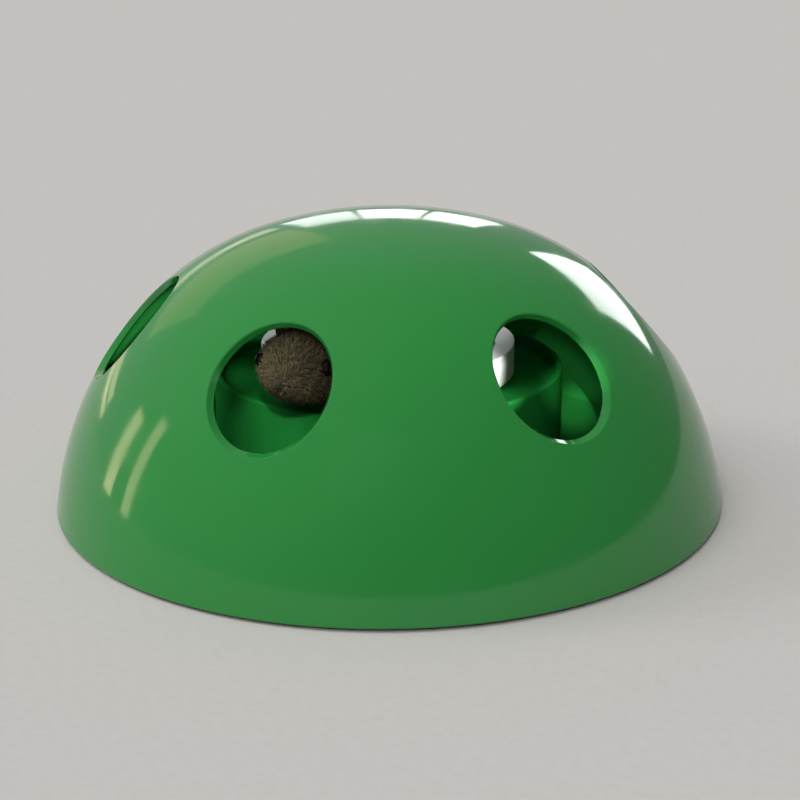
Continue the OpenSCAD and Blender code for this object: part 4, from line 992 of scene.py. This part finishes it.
sun("top_light", -40, 70, 1.2, 42)
sun("front_light", 14, 40, 1.05, 25)
sun("left_light", -75, 35, 0.56, 21)
for pane, turn, brightness in (("left", -149.5, 2.2), ("middle", -156, 3.4), ("right", -162.5, 3.6)):
    panel("back_window_" + pane, turn, 11.5, (0.165, 0.33), brightness, daylight)
panel("right_back_window", 172.5, 14.5, (0.6, 0.5), 5.0, daylight)
panel("left_back_window", -136, 9.5, (0.5, 0.1), 1.2, "#fff0d0")
panel("left_back_wall", -127, 24, (1.0, 0.5), 0.4, "#ffdc8c")
panel("far_low_pane", -114, 1.5, (0.6, 0.05), 2.4, sunlight)
panel("far_high_pane", -114, 4.5, (0.6, 0.07), 1.6, sunlight)
panel("middle_pane", -83, 6, (0.15, 0.56), 3.4, sunlight)
panel("near_pane", -71, 9.5, (0.12, 0.7), 2.8, sunlight)

# %% [markdown]
# Little of that light gets in through the holes. So a few of them also have a narrow beam, from a lamp with a
# long tube in front of it. The beam is thinner than the hole, so hardly any of it falls on the shell. When
# the shell is lifted off, a beam meets nothing on its way to the floor, so the floor does not take it.

# %% Beams into the holes
BEAM_AWAY, BEAM_EDGE = 1.0, 0.2
tube_radius = 5 * mm
beam_rule = bpy.data.collections.new("beam_rule")
beam_rule.objects.link(floor)
beam_rule.collection_objects[0].light_linking.link_state = "EXCLUDE"


def beam(name, hole_turn, turn, rise, share, power):
    """A lamp with a tube, aimed at the holes' level at one turn; its beam is this share of a hole wide."""
    lamp = bpy.data.lights.new(name, "SPOT")
    lamp.energy = power
    lamp.spot_size = 2 * math.atan(share * mouth_radius / BEAM_AWAY)
    lamp.spot_blend = BEAM_EDGE
    lamp.shadow_soft_size = tube_radius
    hung = hang(lamp, swing(math.radians(hole_turn), hole_out, hole_height), BEAM_AWAY, turn, rise)
    hung.visible_glossy = False
    hung.light_linking.receiver_collection = beam_rule


beam("left_beam", 0, 27, 34, 0.75, 23)
beam("right_beam", 65, 18, 23, 0.45, 70)
beam("rotor_beam", 57, 46, 13, 0.5, 190)
beam("wall_beam", 180, 140, 3, 0.55, 110)
beam("hollow_beam", -120, -60, 20, 0.5, 16)

# %% [markdown]
# ## Camera
# The view is a close one from the toy's right front, a little above it, with a slightly long lens. Blender
# gives the lens in millimetres on a 36 mm sensor, so a focal length in pixels is scaled by the image's width.
# The toy's middle does not lie quite in the image's middle, so the camera is turned by that small angle
# instead of shifted.

# %% Camera
IMAGE_WIDTH = 800
FOCAL_PX = 1700
SENSOR_MM = 36
AIM_PX = (388.5, 391.8)
eye_at = Vector((0.2413, -0.5296, 0.2276))
toy_middle = Vector((0, 0, 37 * mm))
roll = math.radians(-0.49)
ahead = (toy_middle - eye_at).normalized()
right = ahead.cross(Vector((0, 0, 1))).normalized()
over = right.cross(ahead)
ahead = (ahead + right * (IMAGE_WIDTH / 2 - AIM_PX[0]) / FOCAL_PX
         - over * (IMAGE_WIDTH / 2 - AIM_PX[1]) / FOCAL_PX).normalized()
camera = show("camera", bpy.data.cameras.new("camera"))
camera.data.sensor_width = SENSOR_MM
camera.data.lens = FOCAL_PX / IMAGE_WIDTH * camera.data.sensor_width
camera.location = eye_at
camera.rotation_mode = "QUATERNION"
camera.rotation_quaternion = ahead.to_track_quat("-Z", "Y") @ Euler((0, 0, roll)).to_quaternion()
bpy.context.scene.camera = camera
bpy.context.scene.view_settings.view_transform = "Standard"
print("lens in mm:", camera.data.lens)

# %% [markdown]
# ## The dressed size
# The dressed toy must stay the size of the CAD model, so its box is worked out and printed last.

# %% Finish
low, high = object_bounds()
print("dressed box in mm:", [round(v / mm, 1) for v in (*low, *high)])
